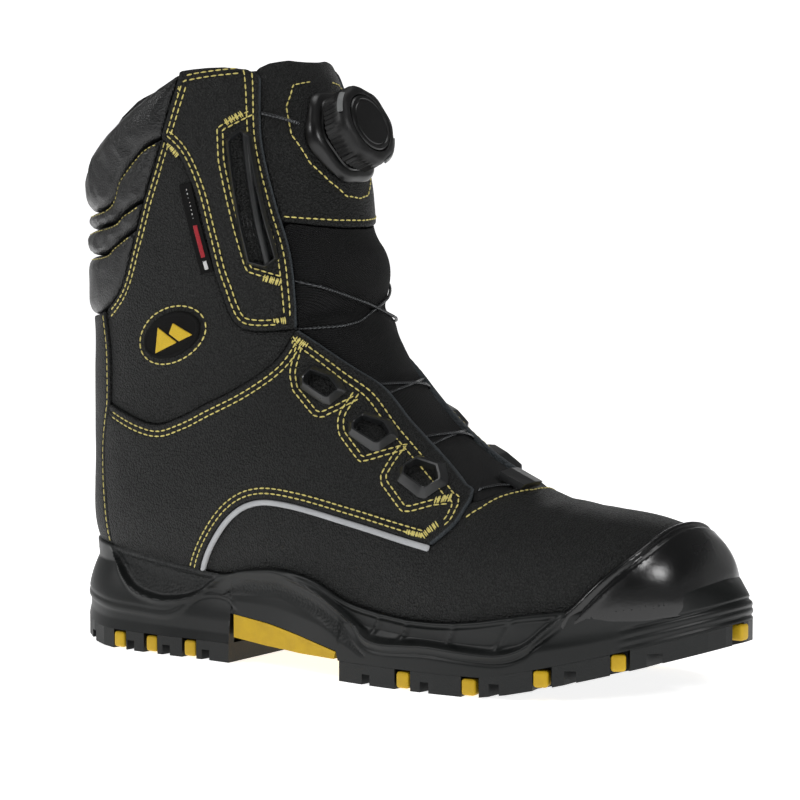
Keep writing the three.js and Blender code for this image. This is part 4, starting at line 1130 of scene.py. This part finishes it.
sew_side(bm, np.vstack([ring, ring[:1]]), 1, ["shaft_leather_lateral"])
across_throat = [(54.5, -36), (58, -29), (60, -20), (62.5, -10), (64, 0), (63, 10), (60.5, 21), (58, 30),
                 (54.5, 36)]
sew(bm, [((x, y, 60), (0, 0, -1)) for x, y in fine(across_throat)], ["vamp_leather"])
stitched(bm, "front")
bm = bmesh.new()
hem = [(-34, 184.0), (-26, 183), (-14, 182), (0, 181.6), (14, 182), (26, 183), (34, 184.0)]
sew(bm, [((-20, y, z), (-1, 0, 0)) for y, z in fine(hem)], ["tongue_leather"])
DIAL_LEAN = (0.92142, 0.38858)
dial_spot, dial_way = Vector((-28.08, 0, 215.856)), Vector((DIAL_LEAN[0], 0, DIAL_LEAN[1]))
dial_up = Vector((-DIAL_LEAN[1], 0, DIAL_LEAN[0]))
around = [(-7, 25), (-16.5, 24.5), (-23, 16), (-25, 4), (-21, -9), (-15, -18), (-8, -25), (0, -26.5), (8, -25),
          (15, -18), (21, -9), (25, 4), (23, 16), (16.5, 24.5), (7, 25)]
sew(bm, [(dial_spot + Vector((0, a, 0)) + dial_up * b, -dial_way) for a, b in fine(around)], ["tongue_leather"])
stitched(bm, "tongue", "tongue_top")

# ---------------------------------------------------------------- dial
# A moulded housing sewn and clipped on the tongue, a knurled rubber grip on it, and a plain cap. Turning
# the grip winds the cable on a spool inside the housing.
dial_plastic = mottled("dial_plastic", 160, 3.0, (0.0012, 0.0012, 0.0013), (0.004, 0.004, 0.0042), 0.26, 0.1,
                       0.0001, Specular_IOR_Level=0.5)
dial_grip = mottled("dial_grip", 300, 3.0, (0.0015, 0.0015, 0.0016), (0.0045, 0.0045, 0.0048), 0.42, 0.1,
                    0.00015, Specular_IOR_Level=0.45)
make = Finish("dial_grey")
dial_grey = make.coat(make.mix(make.noise(400), (0.14, 0.147, 0.147), (0.24, 0.245, 0.245)), 0.55)
on_dial = Matrix((dial_way.cross(dial_up), dial_up, dial_way)).transposed().to_4x4()
on_dial.translation = dial_spot
scale_down = Matrix.Scale(MM, 4)


def spun(profile, steps=96):
    """A profile of radius and height, turned about the dial's axis. A ring's profile is closed on itself."""
    bm = bmesh.new()
    chain = [bm.verts.new((r, 0, h)) for r, h in profile]
    edges = [bm.edges.new(pair) for pair in zip(chain, chain[1:])]
    if profile[0][0] > 0 and profile[-1][0] > 0:
        edges.append(bm.edges.new((chain[-1], chain[0])))
    bmesh.ops.spin(bm, geom=chain + edges, cent=(0, 0, 0), axis=(0, 0, 1), angle=math.tau, steps=steps,
                   use_merge=True)
    bmesh.ops.remove_doubles(bm, verts=bm.verts, dist=1e-4)
    bmesh.ops.recalc_face_normals(bm, faces=bm.faces)
    return bm


def on_tongue(bm, name, material, body):
    """A piece made on the dial's own axis goes to its place on the tongue."""
    bmesh.ops.transform(bm, matrix=scale_down @ on_dial, verts=bm.verts)
    return finished_mesh(bm, name, material, body)


# The housing's skirt is fitted to the leather under it, and its underside is left open there.
SKIRT, SKIRT_FOOT, LOBED_FROM = -4, -5.5, 15.5
bm = spun([(0, 2.0), (12.5, 2.0), (12.5, 8.4), (14.5, 8.4), (14.6, 3.3), (16.2, 3.0), (16.6, 2.3), (18.6, 1.8),
           (20.1, 0.6), (20.6, -1.0), (20.3, -5.4), (19.2, -6)])
for v in bm.verts:
    if v.co.z < SKIRT:
        hit = fired(on_dial @ Vector((v.co.x, v.co.y, 12)), -dial_way, ["tongue_leather"])
        if hit:
            leather = (on_dial.inverted() @ (hit[0] / MM)).z
            v.co.z = leather + (0.15 if v.co.z < SKIRT_FOOT else 0.9)
    radius, angle = math.hypot(v.co.x, v.co.y), math.atan2(v.co.y, v.co.x)
    lobe = 1 + 0.035 * math.cos(6 * angle) * (radius > LOBED_FROM)
    v.co.x, v.co.y = v.co.x * lobe, v.co.y * lobe
base = on_tongue(bm, "dial_housing", dial_plastic, "tongue_top")
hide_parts("dial_base")

bm = spun([(14.9, 10.8), (14.9, 3.8), (16.2, 3.6), (17.0, 4.2), (17.0, 5.2), (17.0, 6.6), (17.0, 8.6),
           (17.1, 10.2), (17.2, 11.4), (16.8, 12.9), (15.8, 14.2), (14.2, 14.9), (12.9, 14.9), (12.5, 14.4),
           (12.3, 13.0), (6, 13.0), (6, 10.8)], 192)
for v in bm.verts:
    radius, angle = math.hypot(v.co.x, v.co.y), math.atan2(v.co.y, v.co.x)
    if radius > LOBED_FROM:
        corner = 0.35 * math.cos(8 * angle)
        ridges = 0.32 * math.cos(48 * angle) * min(max((10.6 - v.co.z) / 1.5, 0), 1)
        share = (radius + corner + ridges) / radius
        v.co.x, v.co.y = v.co.x * share, v.co.y * share
grip = on_tongue(bm, "dial_grip_ring", dial_grip, "dial_knob_body")
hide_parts("dial_knob")
bm = spun([(0, 13.3), (12.0, 13.3), (12.1, 14.7), (11.6, 15.2), (10.6, 15.3), (10.3, 15.0), (9.8, 15.0),
           (9.5, 15.35), (0, 15.6)])
cap = on_tongue(bm, "dial_cap_face", dial_plastic, "dial_knob_body")
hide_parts("dial_cap")
PAD_SECTION = ((17.0, 11.9), (17.75, 12.0), (17.5, 13.1), (16.6, 14.0), (16.2, 13.4))
for number, (start, end) in enumerate(((0.35, 0.95), (3.55, 4.45)), 1):
    bm = bmesh.new()
    ring = [bm.verts.new((r * math.cos(start), r * math.sin(start), h)) for r, h in PAD_SECTION]
    rim_edges = [bm.edges.new((ring[n], ring[(n + 1) % len(ring)])) for n in range(len(ring))]
    face = bm.faces.new(ring)
    bmesh.ops.spin(bm, geom=[face, *ring, *rim_edges], cent=(0, 0, 0), axis=(0, 0, 1), angle=end - start,
                   steps=12)
    bmesh.ops.remove_doubles(bm, verts=bm.verts, dist=1e-4)
    bmesh.ops.recalc_face_normals(bm, faces=bm.faces)
    on_tongue(bm, f"dial_pad_{number}", dial_grey, "dial_knob_body")

# ---------------------------------------------------------------- more finishes
# The yellow core, the tread, the steel of cable and shank, and the textile and board inside the boot.
core_yellow = mottled("core_rubber", 120, 3.0, (0.42, 0.25, 0.003), (0.72, 0.47, 0.01), 0.5, 0.15, 0.0003,
                      Specular_IOR_Level=0.4)
make = Finish("tread_rubber")
cloud = make.noise(60, 4.0)
tread_rubber = make.coat(make.mix(cloud, (0.0024, 0.003, 0.003), (0.007, 0.0085, 0.0085)),
                         0.45 + cloud * 0.15, make.relief(make.noise(1600, 2.0), 0.0001), Specular_IOR_Level=0.4)
make = Finish("steel_cable")
twist = (make.along("Y") * (math.tau / (0.9 * MM))).sine()
cable_steel = make.coat(make.mix(twist * 0.3 + 0.5, (0.012, 0.0125, 0.013), (0.12, 0.125, 0.13)), 0.25,
                        make.relief(twist, 0.0001), Metallic=0.85)
make = Finish("lining_mesh")
mesh_cells = make.cells(700)
lining_textile = make.coat(make.mix(mesh_cells, (0.007, 0.007, 0.0075), (0.022, 0.022, 0.024)), 0.9,
                           make.relief(mesh_cells, 0.0004), Sheen_Weight=0.2, Specular_IOR_Level=0.2)
board = mottled("pressed_board", 500, 4.0, (0.2, 0.17, 0.11), (0.33, 0.29, 0.2), 0.85, 0.0, 0.0002)
shank_steel = mottled("shank_steel", 300, 2.0, (0.4, 0.4, 0.42), (0.55, 0.55, 0.57), 0.3, 0.1, 0.00005,
                      Metallic=1.0)

# ---------------------------------------------------------------- cables
# One steel cable laces the boot. Its strands leave the guides under the leather's edge and lie on the
# tongue, where they cross at the top and run side by side further down.
def tube(path, radius, sides=10):
    """A round strand through the places of a path, closed at both ends."""
    bm = bmesh.new()
    path = [Vector(p) for p in path]
    side = None
    rings = []
    for n, p in enumerate(path):
        along = (path[min(n + 1, len(path) - 1)] - path[max(n - 1, 0)]).normalized()
        side = (Vector((0, 0, 1)).cross(along) if side is None else side - along * side.dot(along)).normalized()
        over = along.cross(side)
        rings.append([bm.verts.new(p + (side * math.cos(a) + over * math.sin(a)) * radius)
                      for a in np.linspace(0, math.tau, sides, endpoint=False)])
    for ring, following in zip(rings, rings[1:]):
        for n in range(sides):
            bm.faces.new((ring[n], ring[(n + 1) % sides], following[(n + 1) % sides], following[n]))
    bm.faces.new(rings[0][::-1])
    bm.faces.new(rings[-1])
    bmesh.ops.recalc_face_normals(bm, faces=bm.faces)
    return bm


def leather_edge(x, z, sign):
    """Where a strand comes out at the edge of the leather, or just in front of it."""
    while True:
        start = Vector((x, -sign * 80, z)) * MM
        hit = surfaces["tongue_twill"].ray_cast(start, Vector((0, sign, 0)), 0.16)[0]
        if hit is not None:
            return np.array(hit / MM)
        x, z = x + 0.4, z + 0.25


CABLE_RADIUS, LIE, TUCK = 0.62 * MM, 0.85, 0.9 * MM
STRAND_SPOTS, PULLING_PASSES = 61, 400


def strand(name, start, end, over, way):
    """A strand pulled across the tongue from one edge to the other."""
    way = Vector(way).normalized()
    places, depth = [], []
    for share in np.linspace(0, 1, STRAND_SPOTS):
        spot = Vector(start * (1 - share) + end * share)
        hit = surfaces["tongue_twill"].ray_cast((spot - way * 60) * MM, way, 0.12)[0]
        depth.append((spot * MM - hit).dot(way) if hit is not None else 0.0)
        places.append(spot * MM)
    places, depth = np.array(places), np.array(depth)
    level = depth.copy()
    for _ in range(PULLING_PASSES):
        level[1:-1] = np.maximum(depth[1:-1], (level[:-2] + level[2:]) / 2)
    level += (LIE + over * np.sin(np.linspace(0, math.pi, STRAND_SPOTS))) * MM
    places = places - np.array(way)[None, :] * level[:, None]
    tuck = np.array([places[0] * 2 - places[4], places[-1] * 2 - places[-5]]) + np.array(way) * TUCK
    places = np.concatenate([tuck[:1], places, tuck[1:]])
    cable = finished_mesh(tube(places, CABLE_RADIUS), name, cable_steel, "boot", 60)
    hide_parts(name.replace("strand", "cable"))


LACE_ROWS = {"upper": ((-32.5, 157.5), (-27, 138.5), (-1, 0, 0.1)),
             "middle": ((1, 116), (4, 112.5), (-0.9, 0, -0.3)),
             "lower": ((21, 94.5), (24.5, 92), (-0.8, 0, -0.5))}
for row, (high, low, way) in LACE_ROWS.items():
    strand(f"strand_{row}_outward", leather_edge(*high, 1), leather_edge(*low, -1), 1.2, way)
    strand(f"strand_{row}_inward", leather_edge(*low, 1), leather_edge(*high, -1), 0.0, way)
for side, sign in BOTH.items():
    strand(f"strand_toe_{side}", leather_edge(51.5, 76.5, sign), np.array([57.5, -sign * 7.0 - 1.0, 79.5]),
           0.2, (-0.4, 0, -0.9))

# ---------------------------------------------------------------- yellow core blocks
# The tread is moulded over a yellow core, which shows as rounded blocks in notches of its edge.
CORE_BLOCK = (5.9 * MM, 7.4 * MM, 6.6 * MM)
STEPS_ROUND = 2400
for part, teeth in (("heel", (-118, -99.5, -79)), ("forefoot", (36.5, 66.5, 95.5, 122.5))):
    bm = bmesh.new()
    shares = np.linspace(0, 1, STEPS_ROUND, endpoint=False)
    edge = plan_point(shares)
    spots = [int(np.argmin(np.where(np.sign(edge[:, 1]) == sign, np.abs(edge[:, 0] - x), 999)))
             for x in teeth for sign in (-1, 1)]
    if part == "forefoot":
        spots.append(int(np.argmax(edge[:, 0])))
    for spot in spots:
        (x, y), (ax, ay) = edge[spot], edge[(spot + 4) % STEPS_ROUND] - edge[spot - 4]
        turn = math.atan2(ay, ax)
        block = bmesh.ops.create_cube(bm, size=1.0)["verts"]
        inward = Vector((-math.sin(turn), math.cos(turn), 0))
        place = Vector((x, y, float(tread_face(np.array([x]))[0]) + 4.0)) + inward * 3.2
        stand = Matrix.Translation(place * MM) @ Matrix.Rotation(turn, 4, "Z")
        bmesh.ops.transform(bm, verts=block, matrix=stand @ Matrix.Diagonal((*CORE_BLOCK, 1)))
        edges = list({e for v in block for e in v.link_edges})
        bmesh.ops.bevel(bm, geom=edges, offset=1.3 * MM, offset_type="OFFSET", segments=3, profile=0.5,
                        affect="EDGES", material=-1)
    bmesh.ops.recalc_face_normals(bm, faces=bm.faces)
    blocks = finished_mesh(bm, f"{part}_core_blocks", core_yellow, "boot", 60)
    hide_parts(f"{part}_core")

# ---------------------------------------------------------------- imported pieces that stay
# The treads, toe cap, stiffener, linings, footbed, plate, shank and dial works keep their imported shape. Each
# takes the finish of what it is made of.
FINISH_OF_SLOT = {"tread_rubber": tread_rubber, "core_yellow": core_yellow, "midsole_rubber": sole_rubber,
                  "leather_pebble": black_leather, "leather_smooth": smooth_leather, "twill_textile": twill,
                  "lining_textile": lining_textile, "foam_dark": foam_dark, "board": board,
                  "composite": dial_plastic, "shank_steel": shank_steel, "toe_rubber": toe_rubber,
                  "reflective": reflective, "guide_plastic": guide_plastic, "dial_plastic": dial_plastic,
                  "dial_grip": dial_grip, "cable": cable_steel, "badge_woven": woven_black,
                  "label_woven": woven_black}
for subpart in frame["record"]["subparts"]:
    for piece in [o for o in bpy.data.objects if o.type == "MESH" and o.name == subpart["node"]]:
        piece.data.materials.clear()
        piece.data.materials.append(FINISH_OF_SLOT[subpart["material_slot"]])
